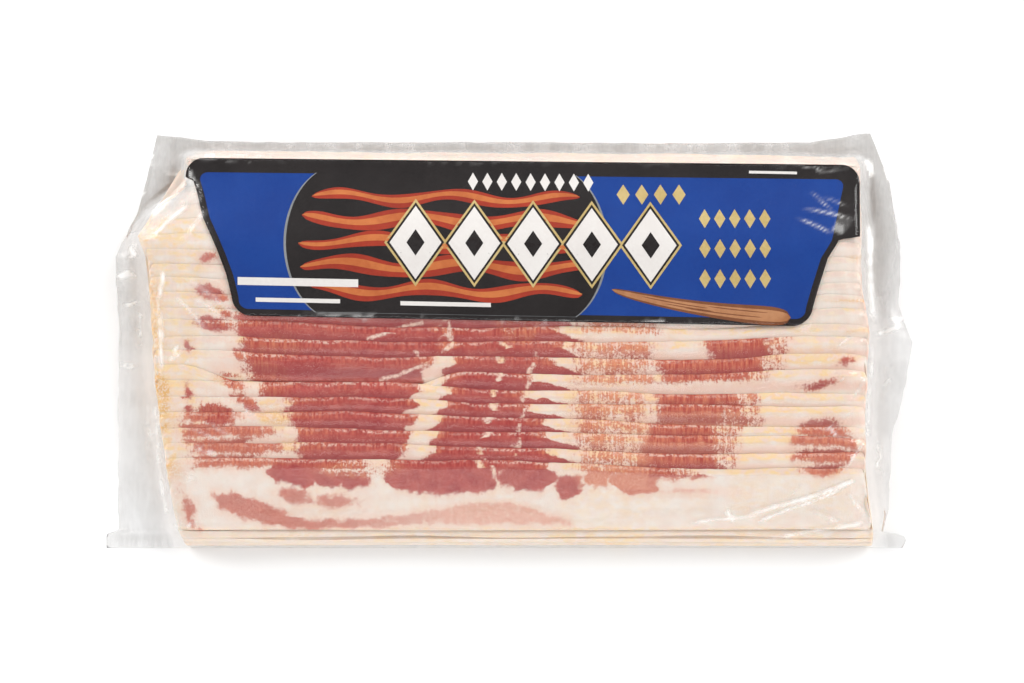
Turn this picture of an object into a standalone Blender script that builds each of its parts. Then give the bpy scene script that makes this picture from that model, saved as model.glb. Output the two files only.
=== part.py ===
"""Sliced bacon in a clear vacuum pack, lying on its back with its label up.

Two sub-parts: the bag, which is the shingled stack of slices inside its film together with
the flat sealed margins round it, and the printed card that lies over the upper slices.
X runs along the slices, +Y points to the end where the card is, +Z is up.
The origin is the middle of the pack on the surface that it lies on.
"""

import math

import bmesh
import bpy
import numpy as np

MM = 0.001

# The stack of slices. Each slice overlaps the one above it on the page, so the last one,
# nearest -Y, lies on top of all and shows its whole face. A slice's crest is its upper
# corner, and its cut rim runs from there down to the crevice, further towards +Y.
SLICE_STEPS = 21
SLICE_PITCH = 4.98 * MM
LAST_SLICE_Y = -42.6 * MM
RIM_WIDTH = 2.2 * MM
STEP_DROP = 1.5 * MM
ROW_TILT = 0.018
ROW_WAVE = 0.4 * MM
ROW_RISE = 3.5 * MM
STACK_HEIGHT = 17.4 * MM
STACK_TOP_HEIGHT = 8.6 * MM
RISE_LENGTH = 34.0 * MM
HEEL_Y = -63.2 * MM
HEEL_END_Y = -68.8 * MM
HEEL_HEIGHT = 10.4 * MM
HEEL_FOOT_HEIGHT = 2.2 * MM
CROWN = 0.5 * MM
TENT = 4.5 * MM

# The film margins
FIN_THICKNESS = 0.8 * MM
FIN_HEIGHT = 2.4 * MM
FIN_WAVE = 0.9 * MM
FIN_WAVE_LENGTH = 46.0 * MM
SEAM_Y = -64.5 * MM
SEAM_END_Y = -69.5 * MM
SEAM_THICKNESS = 1.5 * MM
HALF_LENGTH = 135.0 * MM

# Outlines of the film and of the slices' ends, each point a (y, x) in millimetres
FILM_LEFT = ((-63.6, -130.8), (-30, -131), (2, -130.6), (26, -132), (40, -124.8),
             (52, -121.3), (69, -117.3))
FILM_RIGHT = ((-63.6, 125.6), (-57, 127), (-32, 128.6), (-16, 132.8), (-2, 135), (10, 130.4),
              (26, 131.4), (50, 127.8), (69.5, 119.8))
ENDS_LEFT = ((-69, -109.5), (-57, -112.3), (-36, -115.3), (-20, -117.7), (7, -119.7),
             (26, -120.3), (34, -124), (42, -119.5), (51, -109), (69, -108.4))
ENDS_RIGHT = ((-69, 123), (-60, 121.5), (-52, 119.4), (-38, 118.8), (-20, 119.4), (3, 120.3),
              (18, 117.8), (69, 117.8))

# Outline of the film's upper edge, each point an (x, y) in millimetres
FILM_TOP = ((-121, 69.2), (-115, 68.6), (-101, 67), (-83, 66.4), (17, 66.4), (60, 66), (101, 66.4),
            (112, 68), (119, 69.5))

# The card: a banner that narrows to its lower edge between two ogee sides
CARD_THICKNESS = 0.5 * MM
CARD_GAP = 0.35 * MM
CARD_TOP = (61.0 * MM, 58.6 * MM)
CARD_BOTTOM = (8.6 * MM, 4.4 * MM)
CARD_LEFT = (-91.5 * MM, -107.8 * MM)
CARD_RIGHT = (100.0 * MM, 117.0 * MM)
CARD_CORNER = 6.0 * MM

COLUMNS_BESIDE_CARD = 4
COLUMNS_UNDER_CARD = 26
CARD_COLUMNS = 26
CARD_ROWS = 10


def smooth(t):
    """Ease from 0 to 1 as t goes from 0 to 1, level at both ends."""
    t = np.clip(t, 0.0, 1.0)
    return t * t * (3.0 - 2.0 * t)


def follow(points, along):
    """Read an outline of (place, value) points in millimetres at places in metres."""
    place, value = np.array(points, dtype=float).T * MM
    return np.interp(along, place, value)


def stack_height(y):
    """Height of the film over the slices' crests: a rise, a plateau, the last slice's slope
    and the rounded heel below it."""
    stack_top_y = LAST_SLICE_Y + SLICE_STEPS * SLICE_PITCH
    rise = smooth((stack_top_y - y) / RISE_LENGTH)
    plateau = STACK_TOP_HEIGHT + (STACK_HEIGHT - STACK_TOP_HEIGHT) * rise
    slope = np.clip((LAST_SLICE_Y - y) / (LAST_SLICE_Y - HEEL_Y), 0.0, 1.0)
    height = plateau - (STACK_HEIGHT - HEEL_HEIGHT) * (0.4 * smooth(slope) + 0.6 * slope)
    heel = np.clip((HEEL_Y - y) / (HEEL_Y - HEEL_END_Y), 0.0, 1.0)
    return height - (HEEL_HEIGHT - HEEL_FOOT_HEIGHT) * (1.0 - np.sqrt(1.0 - heel ** 2))


def film_height(x, y):
    """The stack's height with a low crown along it, highest a little left of the middle."""
    return stack_height(y) + CROWN * np.cos(np.clip(x + 10 * MM, -0.1, 0.1) * math.pi / 0.2)


def card_side(v, bottom_and_top):
    """Side of the card at v, 0 at its lower edge and 1 at its upper edge: an ogee."""
    low, high = bottom_and_top
    ogee = 0.55 * smooth(v) + 0.45 * np.clip(v, 0.0, 1.0) ** 3
    return low + (high - low) * ogee


def card_edge(x, left_and_right):
    """A straight upper or lower edge of the card, slightly turned."""
    left, right = left_and_right
    return left + (right - left) * (x - CARD_LEFT[1]) / (CARD_RIGHT[1] - CARD_LEFT[1])


def fin_height(y, outward, side):
    """Middle height of a margin: level at its root and waving more towards its free edge."""
    phase = 2 * math.pi * y / FIN_WAVE_LENGTH + side
    wave = np.sin(phase) + 0.5 * np.sin(2.3 * phase + 1.0)
    return FIN_HEIGHT + FIN_WAVE * outward * wave


def row_places():
    """The pack's rows from -Y to +Y: nominal y and how far the film drops there, as arrays.

    Below the last slice's crest the rows follow the seam, the heel and the slope. Above it
    each slice gives two rows, its crest and the crevice at the foot of its rim.
    """
    heel = HEEL_Y - HEEL_END_Y
    rows = [(SEAM_END_Y, 0.0), (HEEL_END_Y, 0.0), (HEEL_END_Y + 0.15 * heel, 0.0)]
    rows += [(HEEL_END_Y + 0.42 * heel, 0.0), (SEAM_Y, 0.0), (HEEL_Y - 0.3 * MM, 0.0)]
    rows += [(HEEL_Y + (LAST_SLICE_Y - HEEL_Y) * part, 0.0) for part in (0.06, 0.25, 0.5, 0.75)]
    rows.append((LAST_SLICE_Y - 1.0 * MM, 0.0))
    for step in range(SLICE_STEPS):
        crest = LAST_SLICE_Y + step * SLICE_PITCH
        rows += [(crest, 0.0), (crest + RIM_WIDTH, STEP_DROP)]
    rows.append((LAST_SLICE_Y + SLICE_STEPS * SLICE_PITCH, 0.0))
    return np.array(rows).T


def row_bend(x, y):
    """How far a row of slices strays from its nominal y at x.

    A slight turn that fades towards the upper end, a rise at the right end of the middle
    rows and a soft wave.
    """
    step = (y - LAST_SLICE_Y) / SLICE_PITCH
    turn = -ROW_TILT * x * (1.0 - 0.5 * smooth((step - 8.0) / 12.0))
    rise = ROW_RISE * smooth((x - 55 * MM) / (60 * MM)) * smooth((step - 3.5) / 3.0)
    rise = rise * smooth((14.0 - step) / 4.0)
    wave = np.sin(38.0 * x + 90.0 * y) + 0.6 * np.sin(71.0 * x - 150.0 * y + 1.0)
    lower = smooth((y - HEEL_Y) / (LAST_SLICE_Y - HEEL_Y))
    upper = smooth((62.5 * MM - y) / (8 * MM))
    return (turn + rise + ROW_WAVE * wave) * lower * upper


def column_places(y):
    """x of every column on the rows at y, and what each column is.

    Returns the x grid, one line per row, the outward share of the margins' columns (0 on the
    stack, 1 at the film's edge, negative on the left) and the share of the shoulder's height.
    """
    film_left = np.where(y < SEAM_Y + 0.1 * MM, -HALF_LENGTH, follow(FILM_LEFT, y))
    film_right = np.where(y < SEAM_Y + 0.1 * MM, HALF_LENGTH - 2 * MM, follow(FILM_RIGHT, y))
    ends_left = follow(ENDS_LEFT, y)
    ends_right = follow(ENDS_RIGHT, y)
    foot_left = np.maximum(ends_left - TENT, film_left + 1.5 * MM)
    foot_right = np.minimum(ends_right + TENT, film_right - 1.5 * MM)
    v = (y - CARD_BOTTOM[0]) / (CARD_TOP[0] - CARD_BOTTOM[0])
    inner_left = np.maximum(card_side(v, CARD_LEFT), ends_left + 0.6 * MM)
    inner_right = np.minimum(card_side(v, CARD_RIGHT), ends_right - 0.6 * MM)

    # The film falls from the slices' ends to the margins as a steep, slightly round tent.
    tent = ((0.3, 0.34), (0.7, 0.79))
    x = [film_left, 0.5 * (film_left + foot_left), foot_left]
    outward = [-1.0, -0.5, 0.0]
    shoulder = [0.0, 0.0, 0.0]
    for part, share in tent:
        x.append(foot_left + part * (ends_left - foot_left))
        outward.append(0.0)
        shoulder.append(share)
    side = np.linspace(0.0, 1.0, COLUMNS_BESIDE_CARD + 1)
    middle = np.linspace(0.0, 1.0, COLUMNS_UNDER_CARD + 1)
    x += [ends_left + (inner_left - ends_left) * part for part in side[:-1]]
    x += [inner_left + (inner_right - inner_left) * part for part in middle]
    x += [inner_right + (ends_right - inner_right) * part for part in side[1:]]
    inner = 2 * COLUMNS_BESIDE_CARD + COLUMNS_UNDER_CARD + 1
    outward += [0.0] * inner
    shoulder += [1.0] * inner
    for part, share in tent[::-1]:
        x.append(foot_right + part * (ends_right - foot_right))
        outward.append(0.0)
        shoulder.append(share)
    x += [foot_right, 0.5 * (film_right + foot_right), film_right]
    outward += [0.0, 0.5, 1.0]
    shoulder += [0.0, 0.0, 0.0]
    return np.stack(x, axis=1), np.array(outward), np.array(shoulder)


def under_card(x, y):
    """1 where the card lies, and 0 where the slices' steps show."""
    v = (y - card_edge(x, CARD_BOTTOM)) / (CARD_TOP[0] - CARD_BOTTOM[0])
    inside = (x > card_side(v, CARD_LEFT) - 0.2 * MM) & (x < card_side(v, CARD_RIGHT) + 0.2 * MM)
    return np.where(inside & (v > -0.02), 1.0, 0.0)


def bag_grids():
    """Grids of the bag's upper and lower skins, as arrays of rows, columns and x, y, z."""
    row_y, row_drop = row_places()
    top_y = row_y[-1]
    row_y = np.append(row_y, [top_y + 1.6 * MM, top_y + 3.0 * MM, 69.5 * MM])
    row_drop = np.append(row_drop, [0.0, 0.0, 0.0])
    x, outward, shoulder = column_places(row_y)
    y = np.repeat(row_y[:, None], x.shape[1], axis=1)

    # The free upper edge follows its own outline.
    y[-1] = follow(FILM_TOP, x[-1])
    y = y + row_bend(x, y) * (np.abs(outward) < 0.1)

    side = np.where(outward < 0, 0.0, 1.7)
    fin = fin_height(y, np.abs(outward), side)
    steps = row_drop[:, None] * (1.0 - under_card(x, y))
    crest = film_height(x, y) - steps
    top_share = np.ones_like(row_y)
    top_share[-3:] = (0.45, 0.0, 0.0)
    share = shoulder[None, :] * top_share[:, None]
    upper = fin + 0.5 * FIN_THICKNESS + (crest - fin - 0.5 * FIN_THICKNESS) * share

    # The margins stand clear of the table, the stack rests flat on it.
    lower = fin - 0.5 * FIN_THICKNESS
    on_table = (np.abs(outward) < 0.1)[None, :] & (top_share > 0.0)[:, None]
    lower = np.where(on_table, 0.0, lower)

    # The folded seam along -Y is a thicker band that rests on the table too.
    seam = (row_y < SEAM_Y + 0.1 * MM)[:, None]
    beside = (share == 0.0) & seam
    upper = np.where(beside, SEAM_THICKNESS + 0.4 * MM * np.abs(outward), upper)
    lower = np.where(beside, 0.4 * MM * np.abs(outward), lower)
    return np.stack([x, y, upper], axis=-1), np.stack([x, y, lower], axis=-1)


def closed_skin(upper, lower):
    """One closed mesh between two grids of the same size that share no points."""
    rows, columns = upper.shape[:2]
    mesh = bmesh.new()
    above = [[mesh.verts.new(point) for point in line] for line in upper]
    below = [[mesh.verts.new(point) for point in line] for line in lower]
    for i in range(rows - 1):
        for j in range(columns - 1):
            mesh.faces.new((above[i][j], above[i][j + 1], above[i + 1][j + 1], above[i + 1][j]))
            mesh.faces.new((below[i][j], below[i + 1][j], below[i + 1][j + 1], below[i][j + 1]))
    rim = [(0, j) for j in range(columns)]
    rim += [(i, columns - 1) for i in range(1, rows)]
    rim += [(rows - 1, j) for j in range(columns - 2, -1, -1)]
    rim += [(i, 0) for i in range(rows - 2, 0, -1)]
    for (i, j), (k, m) in zip(rim, rim[1:] + rim[:1]):
        mesh.faces.new((below[i][j], below[k][m], above[k][m], above[i][j]))
    return mesh


def make_object(name, mesh, material):
    """Put a finished bmesh into the scene under its node's name."""
    data = bpy.data.meshes.new(name)
    mesh.to_mesh(data)
    mesh.free()
    data.materials.append(material)
    data.shade_smooth()
    data.set_sharp_from_angle(angle=math.radians(25))
    thing = bpy.data.objects.new(name, data)
    bpy.context.scene.collection.objects.link(thing)
    return thing


def make_material(name, colour, roughness):
    """A plain Principled material."""
    material = bpy.data.materials.new(name)
    material.use_nodes = True
    shader = material.node_tree.nodes["Principled BSDF"]
    shader.inputs["Base Color"].default_value = (*colour, 1.0)
    shader.inputs["Roughness"].default_value = roughness
    shader.inputs["Metallic"].default_value = 0.0
    return material


def make_bag():
    """The slices in their film, with the sealed margins, as one solid."""
    mesh = closed_skin(*bag_grids())
    bmesh.ops.triangulate(mesh, faces=[face for face in mesh.faces if face.normal.z > -0.999])
    flat = [face for face in mesh.faces if all(abs(v.co.z) < 1e-7 for v in face.verts)]
    flat_edges = {edge for face in flat for edge in face.edges}
    flat_verts = {vert for face in flat for vert in face.verts}
    bmesh.ops.dissolve_limit(mesh, angle_limit=math.radians(0.05), use_dissolve_boundaries=False,
                             verts=list(flat_verts), edges=list(flat_edges))
    bmesh.ops.recalc_face_normals(mesh, faces=mesh.faces[:])
    film = make_material("bacon_in_film", (0.62, 0.30, 0.25), 0.25)
    return make_object("bag", mesh, film)


def card_grid():
    """Grid of the card's outline: rows of v between the ogee sides, with rounded corners."""
    height = CARD_TOP[0] - CARD_BOTTOM[0]
    corner = CARD_CORNER / height
    bend = np.array([0.0, 0.04, 0.15, 0.33, 0.6, 1.0]) * corner
    v = np.concatenate([bend, np.linspace(corner, 1 - corner, CARD_ROWS)[1:-1], 1 - bend[::-1]])
    from_end = np.minimum(v, 1 - v) / corner
    inset = CARD_CORNER * (1 - np.sqrt(1 - (1 - np.minimum(from_end, 1.0)) ** 2))
    left = card_side(v, CARD_LEFT) + inset
    right = card_side(v, CARD_RIGHT) - inset
    u = np.linspace(0.0, 1.0, CARD_COLUMNS + 1)
    x = left[:, None] + (right - left)[:, None] * u[None, :]
    low = card_edge(x, CARD_BOTTOM)
    y = low + (card_edge(x, CARD_TOP) - low) * v[:, None]
    return x, y


def make_card():
    """The printed card, draped over the upper slices."""
    x, y = card_grid()
    lower = film_height(x, y) + CARD_GAP
    mesh = closed_skin(np.stack([x, y, lower + CARD_THICKNESS], axis=-1),
                       np.stack([x, y, lower], axis=-1))
    bmesh.ops.triangulate(mesh, faces=mesh.faces[:])
    bmesh.ops.recalc_face_normals(mesh, faces=mesh.faces[:])
    card = make_material("printed_card", (0.012, 0.065, 0.30), 0.4)
    return make_object("label", mesh, card)


def clear_scene():
    """Remove what the file holds before the model is built."""
    for thing in list(bpy.data.objects):
        bpy.data.objects.remove(thing)


clear_scene()
make_bag()
make_card()
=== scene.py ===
"""A clear vacuum pack of sliced bacon: the shingled slices, a printed card and the film."""

import math

import bpy
import numpy as np
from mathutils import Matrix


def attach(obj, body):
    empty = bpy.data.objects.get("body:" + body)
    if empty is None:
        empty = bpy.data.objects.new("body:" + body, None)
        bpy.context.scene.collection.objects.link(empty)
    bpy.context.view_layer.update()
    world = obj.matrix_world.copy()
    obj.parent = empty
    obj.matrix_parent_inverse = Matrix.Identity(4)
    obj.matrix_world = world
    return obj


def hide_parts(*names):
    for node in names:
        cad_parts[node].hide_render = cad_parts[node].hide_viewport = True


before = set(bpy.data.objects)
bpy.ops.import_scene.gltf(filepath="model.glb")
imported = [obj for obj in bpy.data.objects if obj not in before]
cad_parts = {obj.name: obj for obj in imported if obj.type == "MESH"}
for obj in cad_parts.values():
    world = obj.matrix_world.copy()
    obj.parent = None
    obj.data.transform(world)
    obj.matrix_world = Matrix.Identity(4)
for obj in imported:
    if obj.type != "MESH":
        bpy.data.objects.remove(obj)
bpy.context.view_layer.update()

# Shapes are worked out in millimetres and put into meshes in metres.
MM = 0.001

# ---------------------------------------------------------------- sizes of the pack

# The rows of slices: their spacing, the highest row's number, the slices behind it, and the y
# of the lowest and of the highest crest
PITCH = 4.98
STEPS = 21
EXTRA_SLICES = 2
LAST_CREST = -42.6
STACK_TOP = 59.6
# One slice: the width of its cut rim, its reach down the page, its thickness, and how far its
# lower edge is rounded
RIM = 2.2
SLICE_DEPTH = 31
SLICE_THICK = 2.65
EDGE_ROUND = 1.5
# How the rows turn, wave, and rise towards the right
TILT = 0.018
ROW_WAVE = 0.4
ROW_RISE = 3.5
# The heel below the lowest slice's face: where it starts and ends, and the heights there
HEEL = -63.2
HEEL_END = -68.8
HEEL_HEIGHT = 10.4
HEEL_FOOT = 2.2
# The stack's height at its lowest crest and at its top, its rise between them, and its crown
STACK_HEIGHT = 17.4
STACK_TOP_HEIGHT = 8.6
RISE_LENGTH = 34
CROWN = 0.5
# Share of the crevices' depth that pressing leaves, along the rows and at their left ends, and
# the deepest crevice that counts
RELIEF = 0.56
RELIEF_ENDS = 0.04
DEEPEST_CREVICE = 3.5
# How far the slices' ends are rounded down, over how long a stretch, and the strip at the very
# end that pressing leaves out
END_DROP = 2.4
END_LENGTH = 8
END_STRIP = 1.2
# The slices' height over the table, the film's gap over them, and its foot's way out from them
BASE = 0.35
FILM_GAP = 0.12
TENT = 4.5
# The steepest slope of the film stretched over the stack, and the rounds that spread it
FILM_SLOPE = 2.6
SPREAD_ROUNDS = 20
# The film's welded strip at the foot, its plain upper edge, the thickness of two sheets with
# their gap, the back sheet's height, and the height of the margins at their very edge
SEAM = -64.5
SEAM_END = -69.5
FILM_TOP_Y = 66.4
FILM_WALL = 0.26
SHEET = 0.12
WELD = 0.8

# Outlines of the film and of the slices' ends, each point a (y, x)
FILM_LEFT = (
    (-69.5, -134.6), (-66, -135), (-64.6, -134.4), (-63.8, -130.8), (-30, -131), (2, -130.6),
    (26, -132), (40, -124.8), (52, -121.3), (69, -117.3))
FILM_RIGHT = (
    (-69.5, 131.5), (-67, 133), (-65.2, 132), (-64.2, 125.6), (-57, 127), (-32, 128.6),
    (-16, 132.8), (-2, 135), (10, 130.4), (26, 131.4), (50, 127.8), (69.5, 119.8))
ENDS_LEFT = (
    (-69, -109.5), (-57, -112.3), (-36, -115.3), (-20, -117.7), (7, -119.7), (26, -120.3),
    (34, -124), (42, -119.5), (51, -109), (69, -108.4))
ENDS_RIGHT = (
    (-69, 123), (-60, 121.5), (-52, 119.4), (-38, 118.8), (-20, 119.4), (3, 120.3), (18, 117.8),
    (69, 117.8))
# Outline of the film's upper edge, each point an (x, y)
FILM_TOP = (
    (-121, 69.2), (-115, 68.6), (-101, 67), (-83, 66.4), (17, 66.4), (60, 66), (101, 66.4),
    (112, 68), (119, 69.5))

# The card, as in the frame: a banner between two ogee sides
CARD_TOP = (61, 58.6)
CARD_BOTTOM = (8.6, 4.4)
CARD_LEFT = (-91.5, -107.8)
CARD_RIGHT = (100, 117)
# Each side's way from its lower end (0) to its upper end (1), at shares of the card's height
SIDE_LEFT = (
    (0, 0), (0.12, 0.03), (0.26, 0.14), (0.4, 0.31), (0.5, 0.45), (0.62, 0.63), (0.78, 0.76),
    (0.855, 0.84), (0.875, 1), (1, 1))
SIDE_RIGHT = (
    (0, 0), (0.12, 0.05), (0.24, 0.16), (0.42, 0.34), (0.5, 0.5), (0.535, 0.56), (0.555, 0.97),
    (0.7, 0.98), (1, 1))
CARD_CORNER = 6
CARD_THICK = 0.3
CARD_HEIGHT = CARD_TOP[0] - CARD_BOTTOM[0]
# The coloured field's borders and corners, and the height and thickness of a layer of ink
BORDER = 2.3
TOP_BORDER = 4.8
FIELD_CORNER = 3
INK_STEP = 0.015
INK_THICK = 0.012

# How far some slices have slipped, at their left and their right
SLIPS = {6: (-5.4, 0), 5: (0.4, -1.8), 3: (0, -1.6), 8: (0, 0.6)}

# Where the meat's columns lie along the slices, one value for each of the last ten slices
LEAN_LEFT = (-79, -70, -70, -72, -74, -82, -88, -87, -88, -90)
NOTCH_LEFT = (-47, -34, -32, -31, -31, -30, -30, -25, -21, -21)
NOTCH_RIGHT = (-41, -25, -23, -23, -21, -20, -20, -18.5, -20, -20)
WEDGE_LEFT = (13, 13, 12, 11, 6, 6, 7, 14, 17, 17)
STRIPE_LEFT = (36, 42, 44, 45, 49, 48, 51, 50, 66, 120)
STRIPE_RIGHT = (55, 69, 69, 70, 77, 76, 80, 85, 87, 124)
MIX_LEFT = 24
MIX_RIGHT = 40

# How far across a slice its row still shows; spots fixed on the page end there
FACE_SHOWN = 6
# How far inside a muscle a place counts as that has none near it
NOWHERE = -9

# The grid on which heights are worked out
STEP_X = 0.7
STEP_Y = 0.4
FIELD_X = np.arange(-140, 140.01, STEP_X)
FIELD_Y = np.arange(-74, 74.01, STEP_Y)
GX, GY = np.meshgrid(FIELD_X, FIELD_Y, indexing="ij")


# ---------------------------------------------------------------- plain formulas


def smooth(t):
    """Ease from 0 to 1 as t goes from 0 to 1, level at both ends."""
    t = np.clip(t, 0, 1)
    return t * t * (3 - 2 * t)


def ramp(value, start, end):
    """Ease from 0 at one value to 1 at another, which may be the lower one."""
    return smooth((value - start) / (end - start))


def round_off(t):
    """Quarter circle from 0 to 1, steep at first and level from t = 1 on."""
    return np.sqrt(1 - (1 - np.clip(t, 0, 1)) ** 2)


def follow(points, along):
    """Read an outline of (place, value) points at the given places."""
    place, value = np.array(points, dtype=float).T
    return np.interp(along, place, value)


def between(table, i, j, s, t):
    """Read a table between four neighbours, s and t of the way from (i, j) to the next ones."""
    low = table[i, j] * (1 - s) + table[i + 1, j] * s
    high = table[i, j + 1] * (1 - s) + table[i + 1, j + 1] * s
    return low * (1 - t) + high * t


def rough(x, y, seed):
    """Smooth noise between -1 and 1: a seeded lattice of heights, one a unit, eased between.
    The lattice repeats after its size, and its last row and column are its first again."""
    size = 64
    table = np.random.default_rng(seed).uniform(-1, 1, (size, size))
    table = np.pad(table, (0, 1), mode="wrap")
    a, b = (np.asarray(place, dtype=float) + 10 * size for place in np.broadcast_arrays(x, y))
    i, j = np.floor(a).astype(int), np.floor(b).astype(int)
    return between(table, i % size, j % size, smooth(a - i), smooth(b - j))


def sample(field, x, y):
    """Read a field of the grid at any places, straight between its four nearest points."""
    a = np.clip((x - FIELD_X[0]) / STEP_X, 0, len(FIELD_X) - 1.001)
    b = np.clip((y - FIELD_Y[0]) / STEP_Y, 0, len(FIELD_Y) - 1.001)
    i, j = a.astype(int), b.astype(int)
    return between(field, i, j, a - i, b - j)


def blur(field, along, across):
    """Gaussian blur of a field, its widths in mm, done on the field's Fourier waves."""
    fx = np.fft.fftfreq(field.shape[0], STEP_X)[:, None]
    fy = np.fft.rfftfreq(field.shape[1], STEP_Y)[None, :]
    keep = np.exp(-2 * math.pi ** 2 * ((fx * along) ** 2 + (fy * across) ** 2))
    return np.fft.irfft2(np.fft.rfft2(field) * keep, s=field.shape)


def level(field, inside, along, across):
    """Blur that takes no account of what lies outside the given area."""
    return blur(field * inside, along, across) / np.maximum(blur(inside, along, across), 0.05)


def carry_on(field, known):
    """A field with its unknown places filled from the known ones near them."""
    near = blur(known, 5, 3)
    filled = blur(field * known, 5, 3) / np.maximum(near, 0.001)
    return np.where(known > 0.5, field, np.where(near > 0.001, filled, 1))


def from_line(x, y, x0, y0, x1, y1):
    """Where places lie against a straight line: how far along it, how far off it, its length."""
    length = math.hypot(x1 - x0, y1 - y0)
    along = ((x - x0) * (x1 - x0) + (y - y0) * (y1 - y0)) / length
    off = ((x - x0) * (y1 - y0) - (y - y0) * (x1 - x0)) / length
    return along, off, length


def spread(field, steepness, rounds):
    """Stretch a skin over a field: no slope of it is steeper than the given one.

    Each round lifts every point to its eight neighbours' height less the slope times the
    distance, so the skin ends as the lowest tent over the field.
    """
    skin = field.copy()
    corner = math.hypot(STEP_X, STEP_Y)
    moves = ((1, 0, STEP_X), (0, 1, STEP_Y), (1, 1, corner), (1, -1, corner))
    for _ in range(rounds):
        for dx, dy, far in moves:
            for sign in (1, -1):
                near = np.roll(skin, (sign * dx, sign * dy), axis=(0, 1))
                skin = np.maximum(skin, near - steepness * far)
    return skin


# ---------------------------------------------------------------- outlines and heights


def stack_height(y):
    """Height over the slices' crests: a rise, a plateau, the last slice's slope and the heel."""
    first_crest = LAST_CREST + STEPS * PITCH
    rise = ramp(y, first_crest, first_crest - RISE_LENGTH)
    plateau = STACK_TOP_HEIGHT + (STACK_HEIGHT - STACK_TOP_HEIGHT) * rise
    slope = np.clip((LAST_CREST - y) / (LAST_CREST - HEEL), 0, 1)
    height = plateau - (STACK_HEIGHT - HEEL_HEIGHT) * (0.4 * smooth(slope) + 0.6 * slope)
    heel = round_off(1 - (HEEL - y) / (HEEL - HEEL_END))
    return height - (HEEL_HEIGHT - HEEL_FOOT) * (1 - heel)


def pack_height(x, y):
    """The stack's height with a low crown along it."""
    return stack_height(y) + CROWN * np.cos(np.clip(x + 10, -100, 100) * math.pi / 200)


def crest_y(step):
    """Nominal y of a slice's crest; the first few slices lie almost edge on edge."""
    return min(LAST_CREST + PITCH * step, STACK_TOP + 0.5 * max(step - STEPS, 0))


def row_bend(x, y):
    """How far a row of slices strays from its nominal y: a turn, a rise at the right, a wave."""
    step = (y - LAST_CREST) / PITCH
    turn = -TILT * x * (1 - 0.5 * ramp(step, 8, 20))
    rise = ROW_RISE * ramp(x, 55, 115)
    rise = rise * ramp(step, 3.5, 6.5) * ramp(step, 14, 10)
    wave = np.sin(0.038 * x + 0.09 * y) + 0.6 * np.sin(0.071 * x - 0.15 * y + 1)
    return (turn + rise + ROW_WAVE * wave) * ramp(y, HEEL, LAST_CREST) * ramp(y, 66, 58)


def crest_line(x, step):
    """y of a slice's crest along x, with the slice's own slip and unevenness. The seventh slice
    from the end has slipped down at its left, the sixth and the fourth at their right."""
    nominal = crest_y(step)
    line = nominal + row_bend(x, nominal) + 0.55 * rough(x / 42, step * 1.9, 6)
    line = line + 0.28 * rough(x / 13, step * 3.3, 5) + 0.09 * rough(x / 3, step * 2.7, 7)
    left, right = SLIPS.get(step, (0, 0))
    left = left * ramp(x, -14, -36) * ramp(x, -110, -86)
    return line + left + right * ramp(x, 24, 54)


def lower_end(step):
    """y of a slice's lower edge: the last four end one below the other at the heel."""
    ends = (HEEL, HEEL - 2.5, HEEL - 4.4, HEEL - 5.4)
    if step < len(ends):
        return ends[step]
    return crest_y(step) - SLICE_DEPTH + 0.8 * math.sin(step * 2.1)


def slice_depth(step):
    """How far a slice reaches from its crest to its lower edge at the pack's middle."""
    return crest_y(step) - lower_end(step)


def lower_line(x, step):
    """y of a slice's lower edge along x, which wanders a little."""
    amount = 0.75 if 0 < step < 3 else 0.25
    return lower_end(step) + amount * rough(x / 34, step * 2.3, 8)


def place_y(x, across, step):
    """y of a point of a slice, spread evenly between its crest and its lower edge."""
    crest = crest_line(x, step)
    return crest - across * (crest - lower_line(x, step)) / slice_depth(step)


def place_across(x, y, step):
    """The reverse of place_y: how far across its slice a point lies."""
    crest = crest_line(x, step)
    return (crest - y) * slice_depth(step) / (crest - lower_line(x, step))


def end_places(y, step, across, depth):
    """x of a slice's left and right ends, with a little of their own and rounded corners."""
    corner = 1.6 * (1 - round_off(np.minimum(across + RIM, depth - across) / 5))
    left = follow(ENDS_LEFT, y) + 0.35 * rough(step * 1.7, across / 9, 11) + corner
    right = follow(ENDS_RIGHT, y) + 0.35 * rough(step * 1.3, across / 9, 12) - corner
    return left + 0.4, right - 0.4


def edge_profile(across, depth):
    """Share of a slice's thickness across it: a leaning cut rim above, a round edge below."""
    up = np.clip((across + RIM) / RIM, 0, 1)
    rim = 0.93 * up ** 0.85 + 0.07 * smooth(across / 0.8)
    return rim * round_off((depth - across) / EDGE_ROUND)


def thickness(x, across, step):
    """Thickness of a slice in mm before its edges are cut."""
    return SLICE_THICK * (1 + 0.07 * rough(x / 11, across / 6 + step * 9, 21))


def lay_slices():
    """Lay the slices on one another, the highest on the page first.

    Each slice's underside is the levelled surface of what lies below it, and its top is that
    plus its thickness. Returns each slice's underside, and the surface of the whole stack.
    """
    inside = (GX > follow(ENDS_LEFT, GY)) & (GX < follow(ENDS_RIGHT, GY))
    inside = (inside & (GY > HEEL_END - 0.4) & (GY < 65)).astype(float)
    surface = np.zeros_like(GX)
    undersides = {}
    for step in range(STEPS + EXTRA_SLICES, -1, -1):
        depth = slice_depth(step)
        across = place_across(GX, GY, step)
        left, right = end_places(GY, step, across, depth)
        under = np.maximum(level(surface, inside, 2, 1), 0)
        cover = (across > -RIM) & (across < depth) & (GX > left) & (GX < right)
        top = under + thickness(GX, across, step) * edge_profile(across, depth)
        undersides[step] = under
        surface = np.where(cover, np.maximum(surface, top), surface)
    return undersides, surface, inside


UNDERSIDES, LAID, STACK_AREA = lay_slices()


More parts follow.
